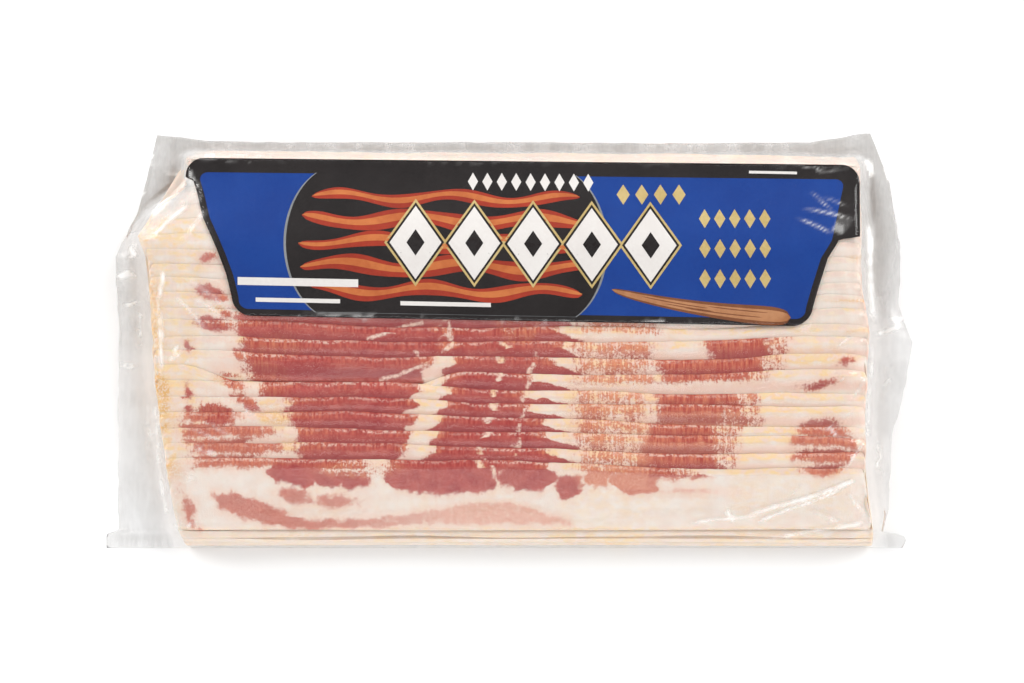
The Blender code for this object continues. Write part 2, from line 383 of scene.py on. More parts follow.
def press():
    """How much the vacuum presses each place: its pressed height over its laid height.

    The crests are brought to the pack's height, and the crevices keep a share of their depth.
    """
    crests = LAID.copy()
    for rows in range(1, 8):
        crests = np.maximum(crests, np.roll(LAID, rows, axis=1))
        crests = np.maximum(crests, np.roll(LAID, -rows, axis=1))
    covered = (STACK_AREA > 0.5) & (LAID > 0.6 * crests) & (LAID > 1)
    from_end = np.minimum(GX - follow(ENDS_LEFT, GY), follow(ENDS_RIGHT, GY) - GX)
    covered = (covered & (from_end > END_STRIP)).astype(float)
    crests = level(crests, covered, 3, 2)
    dip = np.clip(crests - LAID, 0, DEEPEST_CREVICE)
    round_end = END_DROP * (1 - smooth(from_end / END_LENGTH))
    keep = RELIEF_ENDS + (RELIEF - RELIEF_ENDS) * ramp(GX, -104, -78)
    keep *= 1 - 0.25 * ramp(GX, 82, 98)
    keep *= 1 - 0.85 * ramp(GX, 90, 98) * ramp(GY, 1, 7)
    keep *= 1 + 0.45 * rough(GX / 24, GY / 4, 22)
    goal = pack_height(GX, GY) - 0.25 - BASE - round_end - keep * dip
    ratio = carry_on(goal / np.maximum(LAID, 1), covered)
    return np.clip(blur(ratio, 0.5, 0.3), 0.2, 2)


PRESS = press()
TOP_OF_SLICES = np.where(LAID > 0.5, BASE + LAID * PRESS, 0)


# ---------------------------------------------------------------- where the lean meat lies


def of_slice(values, step):
    """The value of one of the last ten slices; the slices above them repeat the tenth."""
    return values[min(step, len(values) - 1)]


def span(x, start, end):
    """How far x lies inside a stretch, in mm, negative outside."""
    return np.minimum(x - start, end - x)


def oval(x, y, centre_x, centre_y, half_x, half_y, turn=0):
    """How far a place lies inside an oval, in mm, negative outside."""
    dx, dy = x - centre_x, y - centre_y
    c, s = math.cos(turn), math.sin(turn)
    reach = np.hypot((dx * c + dy * s) / half_x, (dy * c - dx * s) / half_y)
    return (1 - reach) * min(half_x, half_y)


def near_path(x, y, points):
    """How far a place lies inside a band along a path of (x, y, half width) points."""
    path = np.array(points, dtype=float)
    centre = np.interp(x, path[:, 0], path[:, 1])
    half = np.interp(x, path[:, 0], path[:, 2])
    ends = np.minimum(x - path[0, 0], path[-1, 0] - x) + 1.5
    return np.minimum(half - np.abs(y - centre), ends)


# Muscles that run through several slices at one place, each (x, y, half x, half y, turn, tone)
ISLANDS = (
    (-97.8, 5.6, 6.4, 2.3, -0.2, 0.9), (-93, 9, 2.3, 1.2, -0.5, 0.8),
    (-106.7, -2, 1.4, 1.7, 0.4, 0.8), (-88.5, -4.7, 2.8, 1.6, -0.6, 0.7),
    (-92, -13.2, 4.4, 1.7, -0.6, 0.85), (-90, -19, 2.2, 1.2, -0.5, 0.8),
    (-107, -17, 1.3, 2.6, 0.1, 0.85), (-106.2, -22.6, 1.5, 1.2, 0.1, 0.8),
    (-97, -24.4, 6.2, 3.4, -0.25, 1), (-87, -20.4, 4.6, 1.8, -0.55, 0.75),
    (-99.2, 27.7, 3, 1.6, 0.2, 0.7), (-99, 15.7, 5.4, 2.4, -0.1, 0.8),
    (102.7, -14.6, 5.4, 1.3, 0.2, 0.8), (111.8, -6.9, 2.2, 1.1, 0.5, 0.8))

# Places where lean and fat are speckled, each (x, y, half x, half y, lean's level, how mixed)
SPECKLED = (
    (-84, -14, 13, 8, -1.5, 0.6), (-78, -2, 10, 5, -1.6, 0.5), (-50, -42.6, 17, 3.6, -0.25, 0.9),
    (72, -33, 6, 13, -0.5, 0.8), (88, -22, 9, 6, -2, 0.4), (-98, -20, 8, 6, -1.5, 0.5),
    (3, 5, 8, 7, 1.2, 0.6), (42, -40, 12, 5, 0.3, 0.6))

# Golden fat, each (x, y, half x, half y, how golden)
GOLDEN = (
    (-78, -24, 7, 6, 1.2), (-72, -34, 6, 4, 0.8), (-90, -12, 9, 3.5, 0.9), (-26, -24, 5, 14, 0.5),
    (56, -7, 9, 3, 1), (100, -5, 14, 4.5, 1.3), (88, -18.5, 9, 2.4, 1), (92, -31, 8, 4, 0.6),
    (-85, 1, 7, 3.5, 0.8), (36, -28, 15, 16, 1.2), (114, 10.5, 6, 1.4, 1.5),
    (-112, 36, 8, 6, 0.4), (-113, -39, 2.5, 9, 1.6), (-117, 4, 2.5, 8, 1.4), (102, -33, 3, 8, 0.5))

# Drips of brown juice on the fat, each (x, y, half x, half y, how strong)
STAINS = (
    (-118, 17.2, 0.9, 2.3, 1.4), (-123.2, 31, 0.9, 2.6, 1), (-116.2, -17.5, 3.4, 9, 1.1),
    (-117.3, -19.5, 1.2, 2.8, 1.3), (-114, -29, 1.5, 1.8, 1.1), (-117.6, 3, 1.2, 5, 0.7),
    (113.5, 13.2, 8, 0.7, 0.75), (115, 27.5, 2.6, 0.7, 0.8), (-96.5, 10.4, 3.2, 1.4, 0.8),
    (113, 3, 2, 0.7, 0.6), (-118.6, 40, 0.7, 1.6, 0.6), (-106.5, -1, 1.8, 2.4, 0.5),
    (-93.5, -13, 5, 2, 0.5), (-113, -44, 1.4, 5, 0.6), (-77, -25.5, 6, 2.4, 0.7),
    (-73, -34.5, 4, 1.6, 0.6))

# Thin seams of fat through the lean, each (x, y, x, y)
FAT_SEAMS = (
    (-47.3, 0.8, -28.7, 6.2), (-43, -13.2, -26.7, -7.8), (-27.7, -8.4, -31, -3.4),
    (-20.2, 7.5, -20.2, -2), (8.5, -4, 1.5, -38), (-9, -39, -2, -48))

# Rows of lean at the lower left of the last four slices, and the round muscle at the right
LEFT_ROWS = ((-104, -76), (-106, -75), (-107, -79), (-108, -90))
RIGHT_END = (104.2, -35.6, 10.6, 9.2)

# Lean muscles on the face of the last slice, each (x start, x end, upper, lower across)
FACE_MUSCLES = (
    (-79, -63, 0, 6), (-66, -46.8, 1.6, 7.4), (-40.6, -2.4, 0, 8.6), (-3, 14.3, 0, 7.4),
    (15.3, 23.4, 2.2, 9.8), (25, 33.8, -0.6, 5.6), (34.3, 49.8, 0, 7.4), (50, 66, -0.6, 1.2))

# The second, paler muscle across the last slice's face, each (x, across, half width)
SECOND_MUSCLE = (
    (-95.5, 11.8, 2.2), (-91, 12.4, 3.4), (-84, 14.3, 3.4), (-77.5, 16.4, 2.8), (-72, 18, 2.1),
    (-64, 18.9, 1.6), (-53, 18.4, 1.3), (-42, 18, 1.4), (-31, 16.8, 1.5), (-20, 15.6, 2.4),
    (-8, 15, 3.2), (2, 15, 3.2), (9, 16, 2.2), (18, 17.8, 0.7))

# Its islands of lean, each (x, across, half x, half across, turn)
FACE_ISLANDS = (
    (-71, 9.9, 5.2, 2.2, 0.25), (-57.5, 11.4, 6.6, 1.8, 0), (-106.5, 14.6, 1.3, 5.2, -0.35),
    (59.3, 6.2, 4.9, 0.6, 0))


def upper_muscle(wx, wy, step):
    """The long lean muscle along a slice's upper side: how far inside it, and how mixed."""
    down = np.clip(wy / 2.8, 0, 1)

    # Two parts with a notch of fat between them, and a wedge of fat at the right.
    notch_left = of_slice(NOTCH_LEFT, step) - 3 * down
    notch_right = of_slice(NOTCH_RIGHT, step) - 4.5 * down
    wedge = of_slice(WEDGE_LEFT, step)
    wedge_edge = wedge + (23.5 - wedge) * down
    lean = np.minimum(0.5 * (wx - of_slice(LEAN_LEFT, step)), notch_left - wx)
    lean = np.maximum(lean, span(wx, notch_right, wedge_edge))
    stripe_start, stripe_end = of_slice(STRIPE_LEFT, step), of_slice(STRIPE_RIGHT, step)
    stripe = np.minimum(0.5 * (wx - stripe_start), 0.7 * (stripe_end + 2 * down - wx))
    lean = np.maximum(lean, stripe)

    # Between the muscles lean and fat are finely mixed.
    shift = 2 * rough(step * 1.9, 0.4, 49)
    mixed = span(wx + shift, MIX_LEFT, MIX_RIGHT + 0.9 * min(step, 8))
    mixed_most = 0.42 + 0.5 * rough(wx / 4, step * 2, 34) - 0.5 * down
    lean = np.maximum(lean, np.minimum(0.3 * mixed, mixed_most))
    mix = smooth(mixed / 4 + 0.7)
    mix = np.maximum(mix, 0.55 * smooth(stripe / 3 + 0.5))
    beside = span(wx, stripe_end - 1, stripe_end + 6)
    lean = np.maximum(lean, np.minimum(beside, -0.1))
    mix = np.maximum(mix, 0.8 * smooth(beside / 2 + 0.5))
    rim = 1 - ramp(wy, -0.4, 0.5)
    mix = np.maximum(mix, (0.16 + 0.42 * rim) * smooth(1 - np.abs(lean) / (3 + 5 * rim)))

    # A thin column of fat, which leans left as it goes down the page.
    thin = 0.9 - np.abs(wx - (-10 + 1 * min(step, 9)))
    lean = np.minimum(lean, np.where(wy < 0.4, -thin, -NOWHERE))

    # The faces of two slices are fat at the right, below their rims.
    if step == 6:
        lean = np.minimum(lean, np.maximum(17.5 + 2.5 * wy - wx, 0.4 - wy))
    if step == 9:
        lean = np.minimum(lean, np.maximum(17.5 + 2.2 * wy - wx, -0.9 - wy))
    return lean, mix


def last_face(lean, mix, wx, wy):
    """The last slice's open face has its own lean blobs below the rim."""
    face = np.full_like(lean, NOWHERE)
    for start, end, upper, lower in FACE_MUSCLES:
        sag = 1.1 * rough(wx / 3.6, start, 37) + 0.5 * rough(wx / 1.3, start, 41)
        half = 0.5 * (end - start)
        arch = np.sqrt(np.clip(1 - ((wx - start - half) / half) ** 4, 0, 1))
        bottom = upper + (lower + sag - upper) * (0.45 + 0.55 * arch)
        ragged = wx + 0.9 * rough(wy / 1.6, start + wx / 6, 50)
        blob = np.minimum(span(ragged, start, end), span(wy, upper, bottom))
        face = np.maximum(face, blob)
    onto_face = smooth(wy / 0.8)
    return lean * (1 - onto_face) + face * onto_face, mix * (1 - 0.8 * onto_face)


def warmth(x, y, wx, across, step):
    """How golden the fat is, how stained, and how warm the lean's rims are. Fat is golden on
    the rims, most of all at the right end and the left edge, where it is stained too."""
    gold = 0.36 + 0.25 * ramp(x, 66, 78) * ramp(x, 114, 106)
    gold += 0.4 * rough(x / 7, step * 1.1, 39) + 0.2 * rough(x / 2.5, step + across, 43)
    gold *= 0.15 + 0.85 * ramp(x, -86, -77)
    gold *= 1 - 0.75 * ramp(y, 1, 9) * ramp(x, 88, 94)
    gold *= 1 - 0.55 * ramp(across, 12, 18)
    for *place, amount in GOLDEN:
        gold += amount * smooth(oval(wx, y, *place) / 2)
    stain = 0.7 * ramp(x - follow(ENDS_LEFT, y), 7.5, 2.5)
    stain *= smooth(0.5 + 1.2 * rough(y / 7, 2, 40))
    stain *= 1 - 0.8 * ramp(y, 32, 38)
    for *place, amount in STAINS:
        stain = np.maximum(stain, amount * smooth(oval(wx, y, *place) / 1.2 + 0.5))
    gold += 0.35 * smooth(span(wx, 12, 46) / 5) * ramp(y, 7, 4)
    at_left = ramp(x, -98, -104) * ramp(y, 46, 36) * ramp(y, -42, -34)
    gold += 0.5 * ramp(y, HEEL + 2, HEEL + 0.5) + 0.5 * at_left
    gold *= 1 + 2.2 * at_left * ramp(across, 0.3, 1.3)
    if step > STEPS - 4:
        gold *= 0.3
    heat = np.maximum(ramp(wx, 4, 18), ramp(wx, -78, -92))
    heat += 0.35 * rough(x / 8, step * 1.3, 71) + 0.25
    return gold, stain, heat


def meat(x, across, step):
    """Fields over a slice: how far inside lean meat a place is, the lean's tone, how mixed it
    is with fat, how golden the fat is, stains, the lean's warmth, and how faint it is.

    x and across are in mm, across runs from the crest down the slice's face and is negative
    on the rim. Columns along the slice repeat from slice to slice and drift a little.
    """
    y = place_y(x, across, step)
    wx = x + 1.1 * rough(x / 3.1, across / 2 + step * 5, 31)
    wx += 0.5 * rough(x, across + step, 32)
    wx += 1.3 * rough(x / 14, across / 3 + step * 7, 48)
    wy = across + 0.5 * rough(x / 4, across / 3 + step * 5, 33)
    wy += 0.25 * rough(x / 1.2, across + step * 5, 42)
    on_page = across < FACE_SHOWN
    page_y = y + across - wy
    lean, mix = upper_muscle(wx, wy, step)

    # The muscle ends below the rows; what follows is fat, with the second muscle in it.
    floor = 8.2 + 0.9 * rough(x / 6, step * 1.9, 35)
    lean = np.minimum(lean, floor - wy)
    if step >= STEPS:
        lean = np.full_like(lean, NOWHERE)
    tone = 0.93 + 0.09 * rough(x / 9, step * 0.7, 36)
    if step in (2, 4):
        tone *= 1 - 0.8 * ramp(wx, 26, 38) * ramp(wy, 0.2, 1)
    if step == 0:
        lean, mix = last_face(lean, mix, wx, wy)
        tone *= 1 - 0.5 * ramp(wx, 22, 26) * ramp(wy, 0.4, 1.6)

    if step < len(LEFT_ROWS):
        below = 0.7 if step == 0 else 0.5 + 6 * ramp(wx, -80, -94)
        row = np.minimum(span(wx, *LEFT_ROWS[step]) * 0.35, below - wy)
        pale = 0.45 * ramp(wx, -84, -94)
        row = np.minimum(row, np.abs(wy - 1.2) * 1.2 - pale)
        tone = np.where(row > lean, 0.62, tone)
        mix = np.where(row > lean, 0.35, mix)
        lean = np.maximum(lean, row)
    muscle = oval(wx, page_y, *RIGHT_END)
    pale = 0.25 + 0.07 * np.maximum(RIGHT_END[0] + 4 - wx, 0)
    muscle = np.minimum(muscle, np.abs(wy - 1.7) - pale)
    muscle = np.where(on_page, muscle, NOWHERE)
    tone = np.where(muscle > lean, 0.6, tone)
    mix = np.where(muscle > lean, 0.45, mix)
    lean = np.maximum(lean, muscle)

    second = near_path(wx, wy + 0.4 * rough(x / 2, across / 2, 38), SECOND_MUSCLE)
    for island in FACE_ISLANDS:
        second = np.maximum(second, oval(wx, wy, *island))
    second = np.minimum(second, 1.2 - 0.7 * ramp(x, -66, -36))
    tone = np.where(second > lean, 0.6 - 0.5 * ramp(x, -34, -16), tone)
    lean = np.maximum(lean, second)

    pale_zone = smooth(span(wx, MIX_LEFT - 2, MIX_RIGHT + 8) / 3) * on_page
    tone *= 1 - 0.6 * pale_zone

    # Islands, specks and seams lie at one place on the page across the rows.
    for *place, island_tone in ISLANDS:
        island = np.where(on_page, 1.2 * oval(wx, page_y, *place), NOWHERE)
        tone = np.where(island > np.maximum(lean, -0.5), island_tone, tone)
        lean = np.maximum(lean, island)
    faint = 0.1 + 0.5 * ramp(x, -72, -22)
    faint = np.where(lean < second + 0.4, faint, 0)
    for *place, near, share in SPECKLED:
        patch = np.where(on_page, smooth(oval(wx, y, *place) / 2 + 0.2), 0)
        mix = np.maximum(mix, patch * share)
        most = -NOWHERE if near < -1 else near + 0.9
        lean = lean + (np.clip(lean, near - 0.4, most) - lean) * patch
    for line in FAT_SEAMS:
        along, _, length = from_line(x, y, *line)
        off = np.abs(from_line(wx, y, *line)[1])
        seam = np.minimum(0.5 - off, span(along, 0, length))
        lean = np.minimum(lean, np.where(across > -0.6, -1.6 * seam, -NOWHERE))

    gold, stain, heat = warmth(x, y, wx, across, step)
    return {"lean": lean, "tone": tone, "mix": mix, "gold": gold, "stain": stain,
            "heat": np.clip(heat, 0, 1), "faint": faint}


# ---------------------------------------------------------------- meshes


def new_mesh(name, points, quads, triangles=None):
    """Make an object from arrays: points in mm, four-sided faces and any three-sided ones."""
    quads = np.asarray(quads, dtype=np.int32).reshape(-1, 4)
    triangles = np.zeros((0, 3), np.int32) if triangles is None else np.asarray(triangles)
    corners = np.concatenate([quads.ravel(), triangles.astype(np.int32).ravel()])
    starts = np.concatenate([np.arange(len(quads)) * 4,
                             len(quads) * 4 + np.arange(len(triangles)) * 3])
    data = bpy.data.meshes.new(name)
    data.vertices.add(len(points))
    data.vertices.foreach_set("co", (np.asarray(points) * MM).astype(np.float32).ravel())
    data.loops.add(len(corners))
    data.loops.foreach_set("vertex_index", corners)
    data.polygons.add(len(starts))
    data.polygons.foreach_set("loop_start", starts.astype(np.int32))
    data.update(calc_edges=True)
    data.validate()
    thing = bpy.data.objects.new(name, data)
    bpy.context.scene.collection.objects.link(thing)
    return thing


def grid_quads(rows, columns, first=0):
    """Four-sided faces of a grid of points stored row by row, facing up for rows along x."""
    i, j = np.meshgrid(np.arange(rows - 1), np.arange(columns - 1), indexing="ij")
    a = first + i * columns + j
    return np.stack([a, a + columns, a + columns + 1, a + 1], axis=-1).reshape(-1, 4)


def rim_quads(rows, columns, below):
    """Faces that join the borders of an upper grid and of an equal lower one."""
    around = [np.arange(columns), np.arange(1, rows) * columns + columns - 1]
    around += [(rows - 1) * columns + np.arange(columns - 2, -1, -1)]
    around += [np.arange(rows - 2, 0, -1) * columns]
    ring = np.concatenate(around)
    after = np.roll(ring, -1)
    return np.stack([ring, after, after + below, ring + below], axis=-1)


def sheet_arrays(x, y, upper, lower):
    """Points and faces of a closed sheet between two heights over one grid, rows along x."""
    rows, columns = x.shape
    top = np.stack([x, y, upper], axis=-1).reshape(-1, 3)
    bottom = np.stack([x, y, lower], axis=-1).reshape(-1, 3)
    size = rows * columns
    quads = [grid_quads(rows, columns), grid_quads(rows, columns, size)[:, ::-1]]
    quads.append(rim_quads(rows, columns, size))
    return np.concatenate([top, bottom]), np.concatenate(quads)


def closed_sheet(name, x, y, upper, lower):
    """A closed sheet between two heights as an object."""
    return new_mesh(name, *sheet_arrays(x, y, upper, lower))


def paint(thing, name, values):
    """Store one number a vertex as a named attribute."""
    layer = thing.data.attributes.new(name, "FLOAT", "POINT")
    layer.data.foreach_set("value", np.asarray(values, dtype=np.float32).ravel())


def soften(thing, angle=None):
    """Shade a piece smooth, with sharp edges past the angle where one is given."""
    thing.data.shade_smooth()
    if angle is not None:
        thing.data.set_sharp_from_angle(angle=math.radians(angle))


# The fields that every point of a slice carries, in the order of their sockets
MEAT_FIELDS = ("Lean", "Tone", "Mix", "Gold", "Stain", "Heat", "Faint", "Rim", "Tuck", "Fleck")


def slice_piece(step):
    """One slice: its section runs round the rim, the face, the lower edge and the underside,
    and is carried along x between the slice's ends. The meat's fields go with each point."""
    nominal = crest_y(step)
    depth = slice_depth(step)
    rim = -RIM + RIM * np.array([0, 0.12, 0.28, 0.46, 0.64, 0.82, 1])
    near = np.array([0.3, 0.7, 1.2, 1.8, 2.4, 3.1])
    if step == 0:
        face = np.arange(3.8, depth - 1.6, 0.62)
    elif step == 7:
        face = np.concatenate([np.arange(3.8, 9, 0.7), np.arange(10.5, depth - 6.5, 3)])
        face = np.concatenate([face, np.arange(depth - 5.5, depth - 1.6, 0.8)])
    else:
        face = np.concatenate([[3.9, 4.8, 5.8, 7.2], np.arange(9.5, depth - 6.5, 3),
                               np.arange(depth - 5.5, depth - 1.6, 0.8)])
    tip = depth - EDGE_ROUND * np.array([0.85, 0.6, 0.36, 0.16, 0.04, 0])
    over = np.concatenate([rim, near, face, tip])
    back = over[-2:0:-1]
    if step < STEPS:
        back = back[(back > depth - 7) | (np.arange(len(back)) % 3 == 0)]
    across = np.concatenate([over, back])
    on_top = np.arange(len(across)) < len(over)

    count = 320 if step == 0 else 270
    along = np.linspace(0, 1, count)
    along = np.concatenate([[0, 0.0012, 0.0026], along[1:-1], [0.9974, 0.9988, 1]])
    h, t = np.meshgrid(across, along, indexing="xy")
    left, right = end_places(nominal - h, step, h, depth)
    x = left + (right - left) * t
    y = place_y(x, h, step)
    from_end = np.minimum(x - left, right - x)
    end = 0.55 + 0.45 * round_off(from_end / 0.9)
    under = sample(UNDERSIDES[step], x, y)
    thick = thickness(x, h, step) * edge_profile(h, depth)
    middle = under + 0.5 * thick
    z = np.where(on_top[None, :], middle + 0.5 * thick * end, middle - 0.5 * thick * end)
    z = BASE + z * sample(PRESS, x, y)

    rows, columns = x.shape
    index = np.arange(rows * columns).reshape(rows, columns)
    after = np.roll(index, -1, axis=1)
    quads = np.stack([index[:-1], after[:-1], after[1:], index[1:]], axis=-1).reshape(-1, 4)
    caps = []
    for ring, flip in ((index[0], False), (index[-1], True)):
        fan = np.stack([np.full(columns - 2, ring[0]), ring[2:], ring[1:-1]], axis=-1)
        caps.append(fan[:, ::-1] if flip else fan)
    points = np.stack([x, y, z], axis=-1).reshape(-1, 3)
    thing = new_mesh(f"slice_{step + 1:02d}", points, quads[:, ::-1], np.concatenate(caps))
    fields = meat(x, h, step)
    uneven = 0.45 * rough(x / 6, step * 1.7, 46) + 0.25 * rough(x / 1.7, step * 1.7, 47)
    on_rim = np.where(on_top[None, :], 1 - smooth(h + 0.45 + uneven), 0)
    fields["rim"] = np.maximum(on_rim, 0.3 * ramp(h, depth - 2, depth - 0.5))
    # Painted shade in the crevice under the next slice, faint at the far left and upper right
    tuck = ramp(h, 0.3, 2.9) * ramp(h, 5.2, 4.2) if step else np.zeros_like(h)
    tuck *= 0.15 + 0.85 * ramp(x, -104, -82)
    fields["tuck"] = tuck * (1 - 0.8 * ramp(x, 92, 100) * ramp(y, -4, 2))
    # Pale flecks along the rim: partly white fat, partly painted glints
    fleck = smooth(1.2 - np.abs(h + 1.55 + 0.35 * rough(x / 5, step, 44)) / 0.6)
    fleck *= 0.35 + 0.65 * smooth(0.6 + rough(x / 16, step * 2.9, 45))
    fields["fleck"] = np.where(on_top[None, :], fleck, 0)
    for name in MEAT_FIELDS:
        paint(thing, name.lower(), fields[name.lower()])
    grain = thing.data.attributes.new("grain", "FLOAT_VECTOR", "POINT")
    place = np.stack([x, h, np.full_like(x, step * 2.3)], axis=-1)
    grain.data.foreach_set("vector", place.astype(np.float32).ravel())
    soften(thing, 55)
    return thing


# ---------------------------------------------------------------- the card and its print


def card_side(v, bottom_and_top, ears=True):
    """Side of the card at v, 0 at its lower edge and 1 at its upper edge: it swings out to
    an ear below each upper corner. Without the ears it goes on as it began."""
    low, high = bottom_and_top
    way = SIDE_LEFT if low < 0 else SIDE_RIGHT
    if not ears:
        way = tuple(point for point in way if point[1] < 0.9) + ((1, 0.9),)
    return low + (high - low) * follow(way, np.clip(v, 0, 1))


def card_edge(x, left_and_right):
    """A straight upper or lower edge of the card, slightly turned."""
    left, right = left_and_right
    return left + (right - left) * (x - CARD_LEFT[1]) / (CARD_RIGHT[1] - CARD_LEFT[1])


def inside_card(x, y):
    """How far a place lies inside the card's outline, in mm, negative outside."""
    bottom, top = card_edge(x, CARD_BOTTOM), card_edge(x, CARD_TOP)
    v = (y - bottom) / CARD_HEIGHT
    across = np.minimum(x - card_side(v, CARD_LEFT), card_side(v, CARD_RIGHT) - x)
    return np.minimum(across, np.minimum(y - bottom, top - y))


def card_top(x, y):
    """Height of the card's printed side: it lies on the slices' crests."""
    return pack_height(x, y) + CARD_THICK


def banner(inset, top_inset, corner, columns, rows, ears=True):
    """Grid of the card's outline set in by the given borders, with rounded corners.

    Each row v runs straight across between the two sides, and a corner's circle says how far
    the row stops short of them.
    """
    bend = 1 - np.cos(np.linspace(0, math.pi / 2, 9))
    bend = bend * corner / CARD_HEIGHT
    v = np.concatenate([bend, np.linspace(bend[-1], 1 - bend[-1], rows)[1:-1], 1 - bend[::-1]])
    short = corner * (1 - round_off(np.minimum(v, 1 - v) * CARD_HEIGHT / corner))
    low, high = inset / CARD_HEIGHT, 1 - top_inset / CARD_HEIGHT
    place = low + (high - low) * v
    left = card_side(place, CARD_LEFT, ears) + inset + short
    right = card_side(place, CARD_RIGHT, ears) - inset - short
    u = np.linspace(0, 1, columns)[:, None]
    x = left[None, :] + (right - left)[None, :] * u
    bottom = card_edge(x, CARD_BOTTOM)
    y = bottom + (card_edge(x, CARD_TOP) - bottom) * place[None, :]
    return x, y


def print_on(name, grids, layer, material):
    """A layer of ink on the card: thin closed sheets that follow the card's surface."""
    sheets = []
    for x, y in grids:
        height = card_top(x, y) + INK_STEP * layer
        sheets.append(sheet_arrays(x, y, height, height - INK_THICK))
    starts = np.cumsum([0] + [len(points) for points, _ in sheets])[:-1]
    points = np.concatenate([points for points, _ in sheets])
    quads = np.concatenate([quads + start for (_, quads), start in zip(sheets, starts)])
    thing = new_mesh(name, points, quads)
    soften(thing, 60)
    thing.data.materials.append(material)
    return thing


def ribbon(start, end, count, centre, half):
    """Grid of a band along x: its middle line and half width are functions of the share t."""
    t = np.linspace(0, 1, count)[:, None]
    w = np.linspace(-1, 1, 5)[None, :]
    x = start + (end - start) * t + 0 * w
    y = centre(t) + half(t) * w
    return x, y


def lozenge(centre_x, centre_y, half_x, half_y):
    """Grid of a diamond: a square grid turned by an eighth and stretched."""
    a, b = np.meshgrid(np.linspace(-1, 1, 9), np.linspace(-1, 1, 9), indexing="ij")
    return centre_x + half_x * (a - b) / 2, centre_y + half_y * (a + b) / 2


# ---------------------------------------------------------------- the film


def film_field():
    """Height of the front film over the whole grid: a tent stretched over the slices and the
    card, softened, and never below what it covers."""
    under = TOP_OF_SLICES + FILM_GAP
    over_card = np.maximum(under, card_top(GX, GY) + FILM_GAP)
    under = np.where(inside_card(GX, GY) > 0, over_card, under)
    tent = np.maximum(blur(spread(under, FILM_SLOPE, SPREAD_ROUNDS), 0.8, 0.5), under)
    return np.maximum(blur(tent, 0.35, 0.25), under - 0.05)


def margin_height(x, y):
    """Height of the sealed margins: a low wave along them, and fine folds across them."""
    wave = np.sin(y / 7.3 + x / 90) + 0.5 * np.sin(y / 3.2 + 1)
    out = np.maximum(np.abs(x) - 118, 0) / 14
    folds = 0.22 * np.abs(rough(y / 2.4, x / 9, 51)) + 0.3 * rough(y / 6, x / 12, 52)
    return 2.2 + 0.7 * out * wave + folds


def creases(x, y):
    """Sharp folds of the film, raised ridges along short lines; returns their height."""
    height = np.zeros_like(x)
    for *line, rise, width in CREASES:
        along, off, length = from_line(x, y, *line)
        off = off + 0.35 * np.sin(along / 5)
        ends = smooth(along / 4) * smooth((length - along) / 4)
        height = np.maximum(height, rise * np.exp(-(off / width) ** 2) * ends)
    return height


# Creases of the film, each (x, y, x, y, rise, width)
CREASES = (
    (78, -59, 116, -46.5, 1.1, 0.55), (82, -61, 112, -48.6, 0.8, 0.4),
    (60, -61, 84, -58, 0.6, 0.5), (-116.6, 14, -115, -13, 0.8, 0.5),
    (-114.5, 6, -116.5, -6, 0.6, 0.4), (-106.5, -29, -96, -33.5, 0.6, 0.4),
    (-104, -36, -95, -39.5, 0.5, 0.35), (-120, 40, -108, 54, 0.6, 0.8),
    (-118.5, -20, -115, -60, 0.5, 0.7), (73.5, -57, 75, -60.5, 0.8, 0.6),
    (120, 40, 122, 5, 0.6, 0.8), (121, 0, 120, -34, 0.5, 0.7), (97, 44, 116, 40, 0.5, 0.4),
    (100, 50, 108, 42, 0.4, 0.35), (95, 41, 108, 35, 0.45, 0.4), (104, 48, 113, 44, 0.4, 0.35),
    (108, -3, 115, 2, 0.5, 0.4), (106, -27, 110, -30, 0.7, 0.4), (-110, 30, -100, 44, 0.4, 0.7),
    (-113, -8, -106, -2, 0.5, 0.5), (90, -66, 120, -60, 0.6, 0.7),
    (-106, -58, -103, -63, 0.6, 0.5), (-114.3, 25, -117, 12, 0.7, 0.5),
    (-109, 22, -91, 9, 0.35, 0.8), (-106, 15, -93, 6.5, 0.3, 0.7),
    (-118.5, 34, -106, 46, 0.4, 0.6), (-112, 16, -100, 3, 0.3, 0.6),
    (114, -20, 120.5, -10, 0.4, 0.5), (111, -44, 119, -33, 0.4, 0.5),
    (112, -50, 119.5, -60, 0.5, 0.6), (100, -56, 112, -62, 0.4, 0.5),
    (93, -53, 98, -47, 0.35, 0.4))
